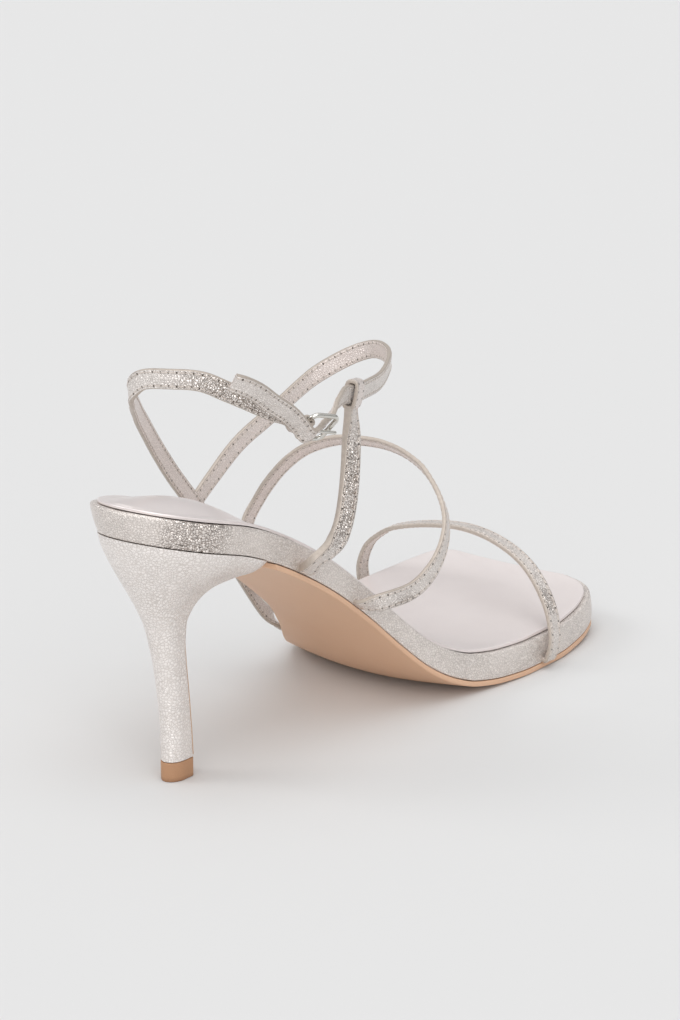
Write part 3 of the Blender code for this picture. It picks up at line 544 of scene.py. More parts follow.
outsole_face = material_of("tan_varnished_leatherboard", leatherboard("#DFB899", "#D5AB8B"))
outsole_rim = material_of("burnished_board_edge", leatherboard("#E6BE9E", "#DCB292"))
outsole_first = share_at(BREAST + 2 * CLEAR + BREAST_THICK)
outsole_loop = sole_loop(first=outsole_first)
outsole_low, outsole_high = -CLEAR - OUTSOLE_THICK, -CLEAR
FACE_ROWS = 10                 # rows on the walking face, before the rim begins
outsole_profile = [(0.0, 0.0, outsole_low, 1.0, step / FACE_ROWS)
                   for step in range(FACE_ROWS, 0, -1)]
outsole_profile += [(0.0, -OUTSOLE_ROUND, outsole_low, 1.0, 0.0),
                    (0.0, -0.3 * OUTSOLE_ROUND, outsole_low + 0.3 * OUTSOLE_ROUND, 1.0, 0.0),
                    (0.0, 0.0, outsole_low + OUTSOLE_ROUND, 1.0, 0.0),
                    (0.0, 0.0, outsole_high - 0.5 * OUTSOLE_ROUND, 1.0, 0.0),
                    (0.0, -0.5 * OUTSOLE_ROUND, outsole_high, 1.0, 0.0),
                    (0.0, -0.5 * OUTSOLE_ROUND, outsole_high, 1.0, 0.3),
                    (0.0, 0.0, outsole_high, 1.0, 1.0)]
outsole_bm = bmesh.new()
slab(outsole_bm, outsole_loop, outsole_profile,
     slot_of=lambda column, row: int(row >= FACE_ROWS))
finish_piece("outsole_board", outsole_bm, [outsole_face, outsole_rim], "outsole", "outsole")

# Heel: a moulded block covered in one sheet of the same foil leather as the rand, closed behind
# the tan strip on its front face.
# Sections of the heel, from the seat down. up: height, of SEAT_HEIGHT. follow: share of the
# seat's slope that the section keeps. rear, front: reach from the top piece's middle, of
# HEEL_SETBACK and of BREAST. half: half width, of half of SEAT_WIDTH. arc: length of the
# rounded back, of the section's length.
HEEL_COLUMNS = ("up", "follow", "rear", "front", "half", "arc")
HEEL_ROWS = [
    (1.000, 1.00, 1.000, 1.000, 1.000, 0.692),
    (0.958, 0.90, 0.968, 0.922, 0.950, 0.69),
    (0.915, 0.80, 0.915, 0.820, 0.862, 0.68),
    (0.873, 0.65, 0.855, 0.655, 0.745, 0.66),
    (0.830, 0.50, 0.790, 0.485, 0.615, 0.63),
    (0.788, 0.35, 0.722, 0.340, 0.495, 0.60),
    (0.733, 0.20, 0.633, 0.204, 0.376, 0.58),
    (0.679, 0.10, 0.542, 0.107, 0.294, 0.56),
    (0.618, 0.00, 0.453, 0.048, 0.238, 0.55),
    (0.545, 0.00, 0.380, 0.044, 0.211, 0.55),
    (0.473, 0.00, 0.320, 0.073, 0.195, 0.55),
    (0.333, 0.00, 0.245, 0.146, 0.178, 0.55),
    (0.177, 0.00, 0.205, 0.209, 0.168, 0.55),
    (0.079, 0.00, 0.200, 0.236, 0.166, 0.55),
]
HEEL_SECTIONS = 110
TIP_HEIGHT = 6.2 * MM
heel_columns = {name: [row[i] for row in HEEL_ROWS] for i, name in enumerate(HEEL_COLUMNS)}


def heel_value(name, at):
    """A column of the heel's table, between rows too."""
    return monotone(range(len(HEEL_ROWS)), heel_columns[name], at)


def heel_height(at, x):
    """Height of a heel section at x; it never comes below the top piece."""
    drop = SEAT_HEIGHT - edge_height(share_at(x))
    height = heel_value("up", at) * SEAT_HEIGHT - heel_value("follow", at) * drop - CLEAR
    return max(height, TIP_HEIGHT + CLEAR)


def d_section(rear, front, half, arc, sides=96):
    """Heel section in plan: rounded behind, flat in front with soft corners. The back has 0.7 of
    its points, each side and each corner 0.05, and the front 0.1."""
    length = front - rear
    corner = min(0.12 * length, 0.3 * half)
    points = []
    for k in range(sides):
        turn = k / sides
        if turn < 0.7:
            angle = math.radians(-90 + 180 * turn / 0.7)
            points.append((rear + arc * length * (1 - math.cos(angle)), half * math.sin(angle)))
        elif turn < 0.75:
            straight = front - corner - rear - arc * length
            points.append((rear + arc * length + (turn - 0.7) / 0.05 * straight, half))
        elif turn < 0.80:
            angle = math.radians(90 * (turn - 0.75) / 0.05)
            points.append((front - corner * (1 - math.sin(angle)),
                           half - corner * (1 - math.cos(angle))))
        elif turn < 0.90:
            points.append((front, (half - corner) * (0.85 - turn) / 0.05))
        elif turn < 0.95:
            angle = math.radians(90 * (turn - 0.90) / 0.05)
            points.append((front - corner * (1 - math.cos(angle)),
                           -half + corner * (1 - math.sin(angle))))
        else:
            straight = front - corner - rear - arc * length
            points.append((front - corner - (turn - 0.95) / 0.05 * straight, -half))
    return points


def capped_loft(bm, sections, height, slot_of=None):
    """Closed body through plan sections: height(row, x) places each section's points."""
    sides = len(sections[0])
    last = len(sections) + 1

    def place(column, row):
        section = sections[min(max(row - 1, 0), len(sections) - 1)]
        x, y = section[column % sides]
        if row in (0, last):
            y = 0.0
        return Vector((x, y, height(min(max(row - 1, 0), len(sections) - 1), x)))
    grid_surface(bm, sides, last, place, slot_of=slot_of)


heel_foil = material_of("crackled_foil_heel", crackled_foil(
    "#FBF5F1", "#AFA49B", cell=1.0, depth=0.1 * MM, chipped=0.3))
heel_stops = [(len(HEEL_ROWS) - 1) * k / HEEL_SECTIONS for k in range(HEEL_SECTIONS + 1)]
heel_sections = [d_section(-heel_value("rear", at) * HEEL_SETBACK, heel_value("front", at) * BREAST,
                           heel_value("half", at) * SEAT_WIDTH / 2, heel_value("arc", at))
                 for at in heel_stops]
heel_bm = bmesh.new()
capped_loft(heel_bm, heel_sections, lambda row, x: heel_height(heel_stops[row], x))
finish_piece("heel_cover", heel_bm, [heel_foil], "heel", "heel")

# Breast cover: the narrow tongue of tan sole leather that runs on from the outsole down the
# heel's front face, skived thin at its sides.
BREAST_SHARE = 0.7             # of the heel's width


def breast_section(at):
    """The cover in plan, from the middle of its glued side round to the middle of its face."""
    near = heel_value("front", at) * BREAST + CLEAR
    far = near + BREAST_THICK
    half = BREAST_SHARE * heel_value("half", at) * SEAT_WIDTH / 2
    skive = min(0.35 * BREAST_THICK, 0.2 * half)
    side = [(near, 0.0), (near, 0.5 * half), (near, half), (far - skive, half),
            (far - 0.3 * skive, half - 0.3 * skive), (far, half - skive), (far, 0.5 * half)]
    return side + [(far, 0.0)] + [(x, -y) for x, y in reversed(side)][:-1]


breast_bm = bmesh.new()
capped_loft(breast_bm, [breast_section(at) for at in heel_stops],
            lambda row, x: heel_height(heel_stops[row], x))
breast_leather = material_of("tan_breast_leather", leatherboard("#D6B090", "#CAA382"))
finish_piece("breast_cover", breast_bm, [breast_leather], "heel_breast", "heel_breast")

# Top piece: a tan rubber lift pinned under the heel, its lower edge slightly rounded by wear.
TIP_LENGTH = 9.9 * MM
TIP_WIDTH = 7.8 * MM
TIP_WEAR = 0.4 * MM
TIP_TURN = 0.15 * MM           # its upper edge is only broken


def moulded_rubber(tree, shader):
    """Hard rubber: matt, finely speckled, a little darker towards the floor."""
    place = in_millimetres(tree)
    speck = node(tree, "ShaderNodeTexNoise", {"Vector": place, "Scale": 3.0, "Detail": 4.0})
    high = node(tree, "ShaderNodeSeparateXYZ", {"Vector": place})
    # Over the lowest 1.6 mm the colour is mixed further towards a darker brown, most at the floor.
    low_darkening = node(tree, "ShaderNodeMapRange", {"Value": high.outputs["Z"], "From Min": 0.0,
                                              "From Max": 1.6, "To Min": 0.7, "To Max": 0.0})
    color = node(tree, "ShaderNodeMix", {"Factor": speck.outputs["Fac"],
                                         "A": linear("#BD916E"), "B": linear("#B18564")},
                 data_type="RGBA")
    darkened_low = node(tree, "ShaderNodeMix", {"Factor": low_darkening.outputs[0],
                                        "A": color.outputs["Result"], "B": linear("#92694D")},
                data_type="RGBA")
    bump = node(tree, "ShaderNodeBump", {"Height": speck.outputs["Fac"], "Distance": 0.03 * MM,
                                         "Strength": 0.6})
    tree.links.new(darkened_low.outputs["Result"], shader.inputs["Base Color"])
    tree.links.new(bump.outputs["Normal"], shader.inputs["Normal"])
    shader.inputs["Roughness"].default_value = 0.55


tip_stops = [(TIP_HEIGHT, TIP_TURN), (TIP_HEIGHT - TIP_TURN, 0.0), (TIP_HEIGHT / 2, 0.0),
             (TIP_WEAR, 0.0), (0.3 * TIP_WEAR, 0.3 * TIP_WEAR), (0.0, TIP_WEAR)]
tip_sections = [d_section(-TIP_LENGTH / 2 + inset, TIP_LENGTH / 2 - inset, TIP_WIDTH / 2 - inset,
                          HEEL_ROWS[-1][5]) for _, inset in tip_stops]
tip_bm = bmesh.new()
capped_loft(tip_bm, tip_sections, lambda row, x: tip_stops[row][0])
tip_rubber = material_of("tan_moulded_rubber", moulded_rubber)
finish_piece("top_piece", tip_bm, [tip_rubber], "heel_tip", "heel_tip")

# Buckle: a small frame bent from round nickel-plated wire, with a wire prong whose eye turns on
# the rear bar. The prong is shut on the opposite bar.
BUCKLE_WIDTH = 12.4 * MM
BUCKLE_LENGTH = 11.2 * MM
BUCKLE_CORNER = 2.2 * MM
BUCKLE_WIRE = 1.5 * MM
PRONG_WIRE = 1.1 * MM
ANKLE_RISE = 60.0 * MM
# Rows of the straps' tables. along: of SOLE_LENGTH. side: of half of BALL_WIDTH, inner side
# positive. up: height over the sole's edge, of ANKLE_RISE. slant, lean: degrees by which the
# strap's width is turned up from the toe's direction and leans to the inner side.
BUCKLE_ROW = (0.228, -0.775, 0.771, 91, -42)
BUCKLE_AHEAD = Vector((0.93, -0.24, -0.24)).normalized()


def wide_direction(slant, lean):
    """Direction across a strap."""
    slant, lean = math.radians(slant), math.radians(lean)
    return Vector((math.cos(slant) * math.cos(lean), math.sin(lean),
                   math.sin(slant) * math.cos(lean)))


def strap_spot(row):
    """Middle and width direction of a strap's section, from its row of the table."""
    along, side, up, slant, lean = row
    place = Vector((along * SOLE_LENGTH - HEEL_SETBACK, side * BALL_WIDTH / 2,
                    edge_height(along) + up * ANKLE_RISE))
    return place, wide_direction(slant, lean)


buckle_middle, buckle_wide = strap_spot(BUCKLE_ROW)
buckle_up = (buckle_wide - BUCKLE_AHEAD * buckle_wide.dot(BUCKLE_AHEAD)).normalized()
buckle_out = BUCKLE_AHEAD.cross(buckle_up).normalized()
bar_ahead = BUCKLE_LENGTH / 2 - BUCKLE_WIRE / 2
bar_up = BUCKLE_WIDTH / 2 - BUCKLE_WIRE / 2


def buckle_place(ahead, up, out):
    """A place given along the strap, across it and out of its face, from the buckle's middle."""
    return buckle_middle + BUCKLE_AHEAD * ahead + buckle_up * up + buckle_out * out


def tube(bm, path, radius, sides, closed):
    """Round wire along a path, with domed ends where it is open."""
    spots = [Vector(place) for place in path]
    count = len(spots)
    rows = []
    normal = None
    for i, spot in enumerate(spots):
        behind = spots[i - 1] if closed or i > 0 else spots[0]
        ahead = spots[(i + 1) % count] if closed or i < count - 1 else spots[-1]
        run = (ahead - behind).normalized()
        if normal is None:
            normal = run.orthogonal()
        normal = (normal - run * normal.dot(run)).normalized()
        rows.append((spot, run, normal.copy(), radius))
    if closed:
        rows.append(rows[0])
    else:
        ends = []
        for (spot, run, across, _), sense in ((rows[0], -1), (rows[-1], 1)):
            dome = []
            for k in range(1, 5):
                turn = math.radians(22.5 * k)
                dome.append((spot + run * sense * radius * math.sin(turn), run, across,
                             max(radius * math.cos(turn), radius * 0.002)))
            ends.append(dome)
        rows = ends[0][::-1] + rows + ends[1]

    def place(column, row):
        spot, run, across, reach = rows[row]
        angle = 2 * math.pi * (column % sides) / sides
        return spot + (across * math.cos(angle) + run.cross(across) * math.sin(angle)) * reach
    grid_surface(bm, sides, len(rows) - 1, place)


def polished_nickel(tree, shader):
    """Bright plating with hair-fine polishing marks that only stir the gloss."""
    place = in_millimetres(tree)
    marks = node(tree, "ShaderNodeTexNoise", {"Vector": place, "Scale": 4.0, "Detail": 6.0})
    gloss = node(tree, "ShaderNodeMapRange", {"Value": marks.outputs["Fac"],
                                              "To Min": 0.10, "To Max": 0.24})
    tree.links.new(gloss.outputs[0], shader.inputs["Roughness"])
    shader.inputs["Base Color"].default_value = linear("#DAD8D2")
    shader.inputs["Metallic"].default_value = 1.0


nickel = material_of("polished_nickel_plate", polished_nickel)
frame_path = []
for quarter, (ahead, up) in enumerate(((1, 1), (-1, 1), (-1, -1), (1, -1))):
    for k in range(13):
        angle = math.radians(90 * quarter + 7.5 * k)
        frame_path.append(buckle_place(
            ahead * (bar_ahead - BUCKLE_CORNER) + BUCKLE_CORNER * math.cos(angle),
            up * (bar_up - BUCKLE_CORNER) + BUCKLE_CORNER * math.sin(angle), 0.0))
frame_bm = bmesh.new()
tube(frame_bm, frame_path, BUCKLE_WIRE / 2, 24, True)
finish_piece("buckle_wire_frame", frame_bm, [nickel], "buckle_frame", "buckle_frame", sharp=60.0)

PRONG_START = -30              # degrees; the eye is wound back from here to the prong's root
PRONG_END = -270
PRONG_PAST = 1.5 * MM          # over the bar that it is shut on
prong_eye = BUCKLE_WIRE / 2 + CLEAR + PRONG_WIRE / 2
prong_path = []
for k in range(41):
    angle = math.radians(PRONG_START + (PRONG_END - PRONG_START) * k / 40)
    prong_path.append(buckle_place(-bar_ahead + prong_eye * math.cos(angle), 0.0,
                                   prong_eye * math.sin(angle)))
for k in range(1, 13):
    prong_path.append(buckle_place(-bar_ahead + (2 * bar_ahead + PRONG_PAST) * k / 12, 0.0,
                                   prong_eye))
prong_bm = bmesh.new()
tube(prong_bm, prong_path, PRONG_WIRE / 2, 16, False)
finish_piece("buckle_wire_prong", prong_bm, [nickel], "buckle_prong", "buckle_prong", sharp=60.0)

# Ankle strap: two layers of foil leather back to back, stitched together along both edges. It
# rises from the inner waist, crosses the ankle, runs through the riser's loop and the buckle, and
# its square end lies free outside the sling strap.
STRAP_THICK = 1.3 * MM
STRAP_TUCK = 6.0 * MM
STRAP_LEAVE = 1.6 * MM
SEAM_PLAY = 0.3 * MM
ANKLE_FOOT_SHARE = 0.250
ANKLE_ROWS = [
    (0.263, 0.644, 0.046, 150, 0),
    (0.289, 0.738, 0.097, 135, 0),
    (0.316, 0.809, 0.182, 120, 0),
    (0.345, 0.857, 0.289, 105, 0),
    (0.399, 0.883, 0.560, 95, 0),
    (0.454, 0.855, 0.887, 95, 0),
    (0.516, 0.795, 1.220, 90, 0),
    (0.586, 0.717, 1.523, 90, 0),
    (0.612, 0.609, 1.632, 90, 0),
    (0.627, 0.460, 1.711, 90, 0),
    (0.627, 0.299, 1.758, 90, 0),
    (0.614, 0.149, 1.768, 90, 0),
    (0.581, -0.046, 1.730, 90, 0),
    (0.532, -0.218, 1.625, 90, -5),
    (0.475, -0.368, 1.434, 90, -5),
    (0.413, -0.490, 1.247, 90, -5),
    (0.360, -0.575, 1.116, 90, -8),
    (0.328, -0.621, 1.056, 92, -12),
    (0.294, -0.690, 0.969, 92, -25),
]
FREE_END_ROWS = [
    (0.183, -0.811, 0.737, 99, -36),
    (0.155, -0.828, 0.776, 99, -30),
    (0.120, -0.832, 0.815, 99, -28),
    (0.090, -0.828, 0.863, 99, -25),
    (0.064, -0.805, 0.891, 99, -22),
    (0.053, -0.777, 0.897, 99, -20),
]
# Where the strap passes through the buckle, from front to rear: ahead, of half of
# BUCKLE_LENGTH, and out, of BUCKLE_WIRE.
PASS_ROWS = [
    (1.10, -2.25),
    (0.80, -1.42),
    (0.30, -0.40),
    (-0.32, 1.60),
    (-0.87, 2.50),
]


def edge_direction(share, side, reach):
    """Direction of the sole's edge, over a reach to both sides of a share of its length."""
    return (sole_edge(share + reach, side) - sole_edge(share - reach, side)).normalized()


def foot_spots(share, side, sense=1, thick=STRAP_THICK):
    """A strap's end, lasted under the footbed, from its tip outwards to the sole's edge."""
    half = edge_direction(share, side, 0.01) * STRAP_WIDTH / 2
    tangent = edge_direction(share, side, 0.002)
    outward = side * Vector((-tangent.y, tangent.x))
    spots = []
    for out in (-STRAP_TUCK, -STRAP_TUCK / 2, 0.0, STRAP_LEAVE):
        spot = sole_edge(share, side) + outward * out
        near, far = spot - half, spot + half
        low_edge = Vector((near.x, near.y, seam_height(near.x, near.y)))
        high_edge = Vector((far.x, far.y, seam_height(far.x, far.y)))
        wide = (high_edge - low_edge).normalized()
        lift = Vector((0.0, 0.0, thick / 2 / math.sqrt(1 - wide.z * wide.z) + SEAM_PLAY))
        spots.append(((low_edge + high_edge) / 2 + lift, wide * sense))
    return spots


def strap_sections(spots, step, closed=False):
    """Even sections along a smooth curve through the spots: (place, wide, run, distance)."""
    count = len(spots)
    path = []
    for i in range(count if closed else count - 1):
        before = spots[i - 1] if closed else spots[max(i - 1, 0)]
        after = spots[(i + 2) % count] if closed else spots[min(i + 2, count - 1)]
        start, end = spots[i], spots[(i + 1) % count]
        length = (end[0] - start[0]).length
        lead = (start[0] - before[0]).length
        trail = (after[0] - end[0]).length
        leave = (end[0] - before[0]) * (length / max(length + lead, MM))
        arrive = (after[0] - start[0]) * (length / max(length + trail, MM))
        pieces = max(round(length / step), 1)
        for k in range(pieces):
            t = k / pieces
            place = (start[0] * (1 + 2 * t) * (1 - t) ** 2 + leave * t * (1 - t) ** 2
                     + end[0] * t * t * (3 - 2 * t) - arrive * t * t * (1 - t))
            path.append((place, start[1].lerp(end[1], t * t * (3 - 2 * t)).normalized()))
    if not closed:
        path.append(spots[-1])
    sections = []
    distance = 0.0
    for i, (place, wide) in enumerate(path):
        behind = path[i - 1] if closed or i > 0 else path[0]
        ahead = path[(i + 1) % len(path)] if closed or i < len(path) - 1 else path[-1]
        run = (ahead[0] - behind[0]).normalized()
        wide = (wide - run * wide.dot(run)).normalized()
        sections.append((place, wide, run, distance))
        distance += (path[(i + 1) % len(path)][0] - place).length
    return sections


EDGE_ROLL = 0.32 * MM          # the cut edges are rounded
FACE_CROWN = 0.06 * MM         # the outer face swells a little between its seams
FACE_COLUMNS = 8
EDGE_COLUMNS = 8
FOIL_SLOT, EDGE_SLOT, LINING_SLOT = 0, 1, 2


def strap_outline(width, thick):
    """Section of a strap: its points and which of its three surfaces starts at each."""
    half_w, half_t = width / 2, thick / 2
    roll = min(EDGE_ROLL, 0.45 * thick)
    flat = half_w - roll
    points = []
    for sense, crown, face_slot in ((1, FACE_CROWN, FOIL_SLOT), (-1, 0.0, LINING_SLOT)):
        for k in range(FACE_COLUMNS):
            across = sense * (-flat + 2 * flat * k / FACE_COLUMNS)
            swell = crown * (1 - (across / half_w) ** 2)
            points.append((across, sense * half_t + swell, face_slot))
        for k in range(EDGE_COLUMNS):
            angle = math.radians(90 * sense - 180 * k / EDGE_COLUMNS)
            climb = math.sin(angle)
            corner = 1 if climb > 0.01 else -1 if climb < -0.01 else 0
            points.append((sense * flat + roll * math.cos(angle),
                           (half_t - roll) * corner + roll * climb, EDGE_SLOT))
    return points


END_THIN = 0.93                # a cut end is a little thinner than the strap
END_NARROW = 0.985             # and its last corner a little narrower


def strap_body(bm, sections, width=STRAP_WIDTH, thick=STRAP_THICK, closed=False):
    """A strap swept along its sections. UV is across and along it, in millimetres."""
    outline = strap_outline(width, thick)
    sides = len(outline)
    rows = [(section, 1.0) for section in sections]
    if closed:
        rows.append(rows[0])
    else:
        rows = [(sections[0], 0.0), (sections[0], END_THIN)] + rows[1:-1]
        rows += [(sections[-1], END_THIN), (sections[-1], 0.0)]
    lengths = [section[3] for section, _ in rows]
    if closed:
        lengths[-1] = lengths[-2] + (sections[0][0] - sections[-1][0]).length

    def place(column, row):
        (spot, wide, run, _), fullness = rows[row]
        across, out, _ = outline[column % sides]
        if fullness == 0.0:
            across *= END_NARROW
        return spot + wide * across + wide.cross(run) * out * fullness

    def uv(column, row):
        return outline[column % sides][0] / MM, lengths[row] / MM

    grid_surface(bm, sides, len(rows) - 1, place, uv_of=uv,
                 slot_of=lambda column, row: outline[column][2])


STITCH_THREAD = 0.34 * MM
THREAD_PROUD = 0.15            # share of the thread by which its middle lies over the face
DIP_SHARPNESS = 2.2            # the thread lies flat between quick dips
stitch_bm = bmesh.new()


def sew(sections, width=STRAP_WIDTH, thick=STRAP_THICK, skip=STRAP_TUCK):
    """Two seams near a strap's edges, on its outer and inner face. Each is one thread that dips
    into a needle hole at every STITCH_PITCH."""
    for edge in (-1, 1):
        for face in (-1, 1):
            path = []
            for place, wide, run, distance in sections:
                if distance < skip:
                    continue
                phase = math.pi * distance / STITCH_PITCH
                level = min(DIP_SHARPNESS * abs(math.sin(phase)), 1.0) - (1.0 - THREAD_PROUD)
                proud = thick / 2 + STITCH_THREAD * level
                outward = wide.cross(run) * face
                path.append(place + wide * edge * (width / 2 - STITCH_INSET) + outward * proud)
            tube(stitch_bm, path, STITCH_THREAD / 2, 6, False)


def painted_edge(tree, shader):
    """Cut edge of the two layers, sealed with a thin matt grey-brown edge paint."""
    place = in_millimetres(tree)
    cloud = node(tree, "ShaderNodeTexNoise", {"Vector": place, "Scale": 0.9, "Detail": 3.0})
    color = node(tree, "ShaderNodeMix", {"Factor": cloud.outputs["Fac"],
                                         "A": linear("#CDC3B9"), "B": linear("#ADA196")},
                 data_type="RGBA")
    tree.links.new(color.outputs["Result"], shader.inputs["Base Color"])
    shader.inputs["Roughness"].default_value = 0.45
    shader.inputs["Metallic"].default_value = 0.35


strap_lining = material_of("crackled_foil_strap_lining", crackled_foil(
    "#F6ECE7", "#A99D93", cell=0.75, depth=0.1 * MM, chipped=0.3, stitched=True))
strap_edge = material_of("painted_strap_edge", painted_edge)


def strap_surfaces(name, glint_at=NO_GLINT, glint_reach=1.0):
    """Outer foil, painted edge and inner foil of one strap, with the strap's own glint patch: a
    painted reflection in darker cracks, with glossier tilted chips.
    """
    foil = crackled_foil("#F4EDE8", "#94897F", cell=0.75, depth=0.12 * MM, glint_at=glint_at,
                         glint_reach=glint_reach, stitched=True)
    return [material_of(name, foil), strap_edge, strap_lining]


SECTION_STEP = 0.5 * MM
pass_spots = [(buckle_place(ahead * BUCKLE_LENGTH / 2, 0.0, out * BUCKLE_WIRE), buckle_up)
              for ahead, out in PASS_ROWS]
ankle_spots = (foot_spots(ANKLE_FOOT_SHARE, 1, sense=-1) + [strap_spot(row) for row in ANKLE_ROWS]
               + pass_spots + [strap_spot(row) for row in FREE_END_ROWS])
ankle_sections = strap_sections(ankle_spots, SECTION_STEP)
ankle_bm = bmesh.new()
strap_body(ankle_bm, ankle_sections)
ankle_surfaces = strap_surfaces("crackled_foil_ankle_strap")
finish_piece("ankle_strap", ankle_bm, ankle_surfaces, "strap_upper", "strap_upper")
sew(ankle_sections)

# Sling strap: folded round the buckle's rear bar, it runs round the heel to the inner side, where
# it is joined to the ankle strap and goes on down to the sole as the inner upright.
UPRIGHT_FOOT_SHARE = 0.532
FOLD_WALL = 1.0 * MM
SLING_ROWS = [
    (0.175, -0.770, 0.766, 95, -28),
    (0.141, -0.743, 0.773, 92, -20),
    (0.110, -0.690, 0.803, 90, -12),
    (0.081, -0.609, 0.838, 90, -5),
    (0.056, -0.492, 0.870, 90, 0),
    (0.031, -0.322, 0.857, 90, 0),
    (0.021, -0.138, 0.830, 90, 5),
    (0.027, -0.011, 0.766, 90, 5),
    (0.062, 0.140, 0.711, 85, 5),
    (0.089, 0.260, 0.689, 80, 5),
    (0.124, 0.389, 0.653, 75, 0),
    (0.157, 0.510, 0.615, 70, 0),
    (0.190, 0.609, 0.576, 65, 0),
    (0.247, 0.745, 0.491, 60, 0),
    (0.294, 0.798, 0.399, 50, 0),
    (0.356, 0.834, 0.304, 42, 0),
    (0.435, 0.823, 0.163, 36, 0),
    (0.492, 0.809, 0.069, 30, 0),
]
fold_radius = BUCKLE_WIRE / 2 + CLEAR + FOLD_WALL / 2
sling_spots = ([(buckle_place(-bar_ahead - fold_radius, 0.0, 0.0), buckle_up),
                (buckle_place(-bar_ahead - 2 * fold_radius, 0.0, 0.0), buckle_up)]
               + [strap_spot(row) for row in SLING_ROWS] + foot_spots(UPRIGHT_FOOT_SHARE, 1)[::-1])
sling_sections = strap_sections(sling_spots, SECTION_STEP)
sling_bm = bmesh.new()
strap_body(sling_bm, sling_sections)
# The sling's glint patch, round its rear outer curve, is painted reflection: darker cracks painted
# in there, with glossier tilted chips.
sling_surfaces = strap_surfaces("crackled_foil_sling_strap", (-4.0, -29.0, 124.0), 36.0)
finish_piece("sling_strap", sling_bm, sling_surfaces, "strap_upper", "strap_upper")
sew(sling_sections, skip=STITCH_PITCH)

fold_spots = []
for k in range(24):
    angle = math.radians(15 * k)
    fold_spots.append((buckle_place(-bar_ahead + fold_radius * math.cos(angle), 0.0,
                                    fold_radius * math.sin(angle)), -buckle_up))
fold_bm = bmesh.new()
strap_body(fold_bm, strap_sections(fold_spots, SECTION_STEP, closed=True), thick=FOLD_WALL,
           closed=True)
finish_piece("buckle_fold", fold_bm, sling_surfaces, "strap_upper", "strap_upper")

# Instep strap: the same stitched strap of two foil layers, from the outer waist over the instep
# to the inner waist, both ends lasted between footbed and outsole.
INSTEP_OUTER_FOOT_SHARE = 0.384
INSTEP_INNER_FOOT_SHARE = 0.457
INSTEP_ROWS = [
    (0.401, -0.703, 0.095, -80, 0),
    (0.451, -0.784, 0.284, -85, 0),
    (0.489, -0.821, 0.513, -80, 0),
    (0.527, -0.772, 0.759, -70, 0),
    (0.557, -0.644, 0.942, -60, 0),
    (0.581, -0.405, 1.123, -50, 0),
    (0.587, -0.205, 1.203, -42, 0),
    (0.585, 0.000, 1.237, -40, 0),
    (0.575, 0.198, 1.230, -38, 0),
    (0.563, 0.391, 1.196, -36, 0),
    (0.548, 0.579, 1.109, -33, 0),
    (0.538, 0.703, 1.015, -30, 0),
    (0.530, 0.834, 0.885, -25, 0),
    (0.526, 0.966, 0.731, -20, 0),
    (0.509, 1.011, 0.549, -22, 0),
    (0.486, 0.931, 0.279, -35, 0),
    (0.466, 0.713, 0.078, -45, 0),
]
instep_spots = (foot_spots(INSTEP_OUTER_FOOT_SHARE, -1) + [strap_spot(row) for row in INSTEP_ROWS]
                + foot_spots(INSTEP_INNER_FOOT_SHARE, 1)[::-1])
instep_sections = strap_sections(instep_spots, SECTION_STEP)
instep_bm = bmesh.new()
strap_body(instep_bm, instep_sections)
# The instep strap's small glint patch, near its outer foot, is painted reflection: darker cracks
# painted in there, with glossier tilted chips.
instep_surfaces = strap_surfaces("crackled_foil_instep_strap", (75.0, -32.0, 40.0), 13.0)
finish_piece("instep_strap", instep_bm, instep_surfaces, "strap_upper", "strap_upper")
sew(instep_sections)

# Riser: the outer upright, a strap folded double and stitched, whose bend is left open at the top
# as a loop for the ankle strap.
RISER_THICK = 2.4 * MM
RISER_FOOT_SHARE = 0.258
LOOP_GAP = 0.5 * MM
LOOP_WALL = 1.2 * MM
LOOP_ROW = ANKLE_ROWS[-3]      # where the loop goes round the ankle strap
RISER_ROWS = [
    (0.252, -0.660, 0.082, -10, 0),
    (0.277, -0.697, 0.180, -5, -2),
    (0.303, -0.687, 0.302, 0, -14),
    (0.327, -0.657, 0.517, 0, -20),
    (0.351, -0.593, 0.827, 0, -14),
]
loop_target = strap_spot(LOOP_ROW)[0]
loop_middle, loop_up, loop_run, _ = min(ankle_sections, key=lambda s: (s[0] - loop_target).length)
loop_out = loop_run.cross(loop_up).normalized()
loop_half_up = STRAP_WIDTH / 2 + LOOP_GAP + LOOP_WALL / 2
loop_half_out = STRAP_THICK / 2 + LOOP_GAP + LOOP_WALL / 2
loop_spots = []
for k in range(32):
    angle = math.radians(11.25 * k)
    ease = 1 / (abs(math.cos(angle)) ** 4 + abs(math.sin(angle)) ** 4) ** 0.25
    loop_spots.append((loop_middle + loop_out * loop_half_out * ease * math.cos(angle)
                       + loop_up * loop_half_up * ease * math.sin(angle), -loop_run))
riser_spots = (foot_spots(RISER_FOOT_SHARE, -1, thick=RISER_THICK)
               + [strap_spot(row) for row in RISER_ROWS]
               + [(loop_middle - loop_up * loop_half_up, -loop_run)])
riser_sections = strap_sections(riser_spots, SECTION_STEP)
riser_bm = bmesh.new()
strap_body(riser_bm, riser_sections, thick=RISER_THICK)
strap_body(riser_bm, strap_sections(loop_spots, SECTION_STEP, closed=True), thick=LOOP_WALL,
           closed=True)
# The riser's glint patch, along its middle and upper part, is painted reflection: darker cracks
# painted in there, with glossier tilted chips.
riser_surfaces = strap_surfaces("crackled_foil_riser_strap", (48.0, -30.0, 86.0), 36.0)
finish_piece("riser_strap", riser_bm, riser_surfaces, "strap_riser", "strap_riser")
sew(riser_sections, thick=RISER_THICK)

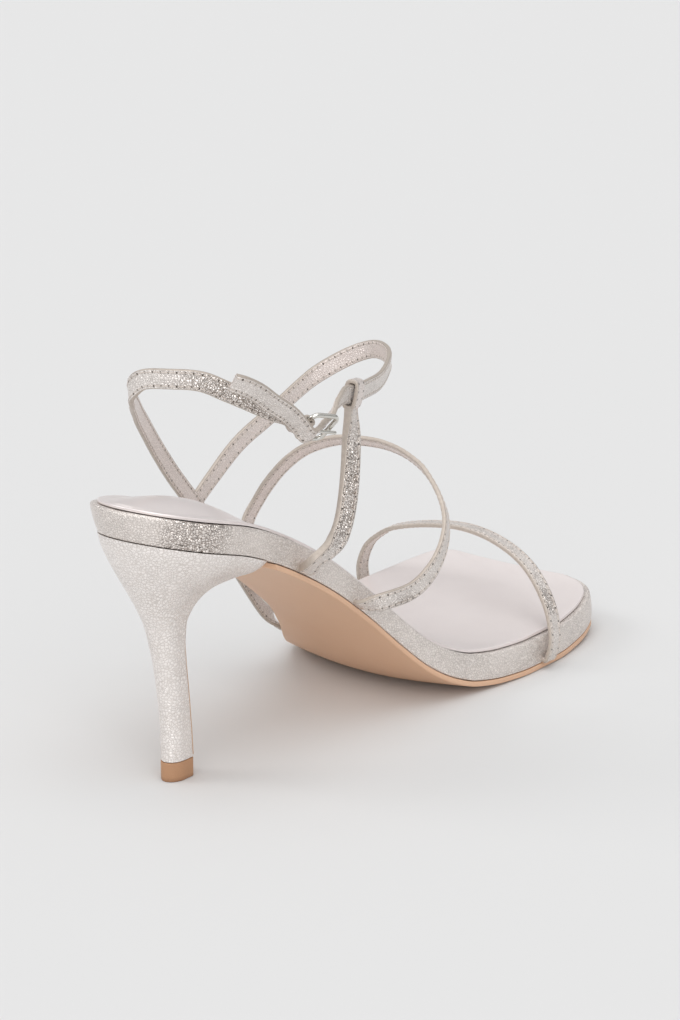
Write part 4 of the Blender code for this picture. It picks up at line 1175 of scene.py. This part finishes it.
# Toe strap: the same stitched strap of two foil layers, low over the toes, both ends lasted
# between footbed and outsole.
TOE_INNER_FOOT_SHARE = 0.850
TOE_OUTER_FOOT_SHARE = 0.775
TOE_ROWS = [
    (0.850, 1.230, 0.186, 0, 0),
    (0.853, 1.179, 0.319, 0, 0),
    (0.854, 1.074, 0.398, 0, 0),
    (0.849, 0.887, 0.479, 0, 0),
    (0.852, 0.552, 0.539, 0, 0),
    (0.848, 0.184, 0.570, 0, 0),
    (0.835, -0.184, 0.548, 0, 0),
    (0.819, -0.506, 0.466, 0, 0),
    (0.797, -0.770, 0.309, 0, 0),
    (0.782, -0.885, 0.143, 0, 0),
]
toe_spots = (foot_spots(TOE_OUTER_FOOT_SHARE, -1) + [strap_spot(row) for row in reversed(TOE_ROWS)]
             + foot_spots(TOE_INNER_FOOT_SHARE, 1)[::-1])
toe_sections = strap_sections(toe_spots, SECTION_STEP)
toe_bm = bmesh.new()
strap_body(toe_bm, toe_sections)
# The toe strap's small glint patch, near its outer foot, is painted reflection: darker cracks
# painted in there, with glossier tilted chips.
toe_surfaces = strap_surfaces("crackled_foil_toe_strap", (155.0, -36.0, 25.0), 13.0)
finish_piece("toe_strap", toe_bm, toe_surfaces, "strap_toe", "strap_toe")
sew(toe_sections)


# Stitches: bonded thread through both layers of every strap, laid by sew in each section above
# and finished here as one piece.


def waxed_thread(tree, shader):
    """Pale grey bonded thread, matt and nearly the foil's tone, so that the needle holes, painted
    dark as shade, show as rows of dots."""
    place = in_millimetres(tree)
    twist = node(tree, "ShaderNodeTexNoise", {"Vector": place, "Scale": 2.5, "Detail": 2.0})
    color = node(tree, "ShaderNodeMix", {"Factor": twist.outputs["Fac"],
                                         "A": linear("#DCD2CA"), "B": linear("#C4B9B0")},
                 data_type="RGBA")
    tree.links.new(color.outputs["Result"], shader.inputs["Base Color"])
    shader.inputs["Roughness"].default_value = 0.7


thread = material_of("waxed_grey_thread", waxed_thread)
finish_piece("strap_stitches", stitch_bm, [thread], "strap_upper", sharp=80.0)
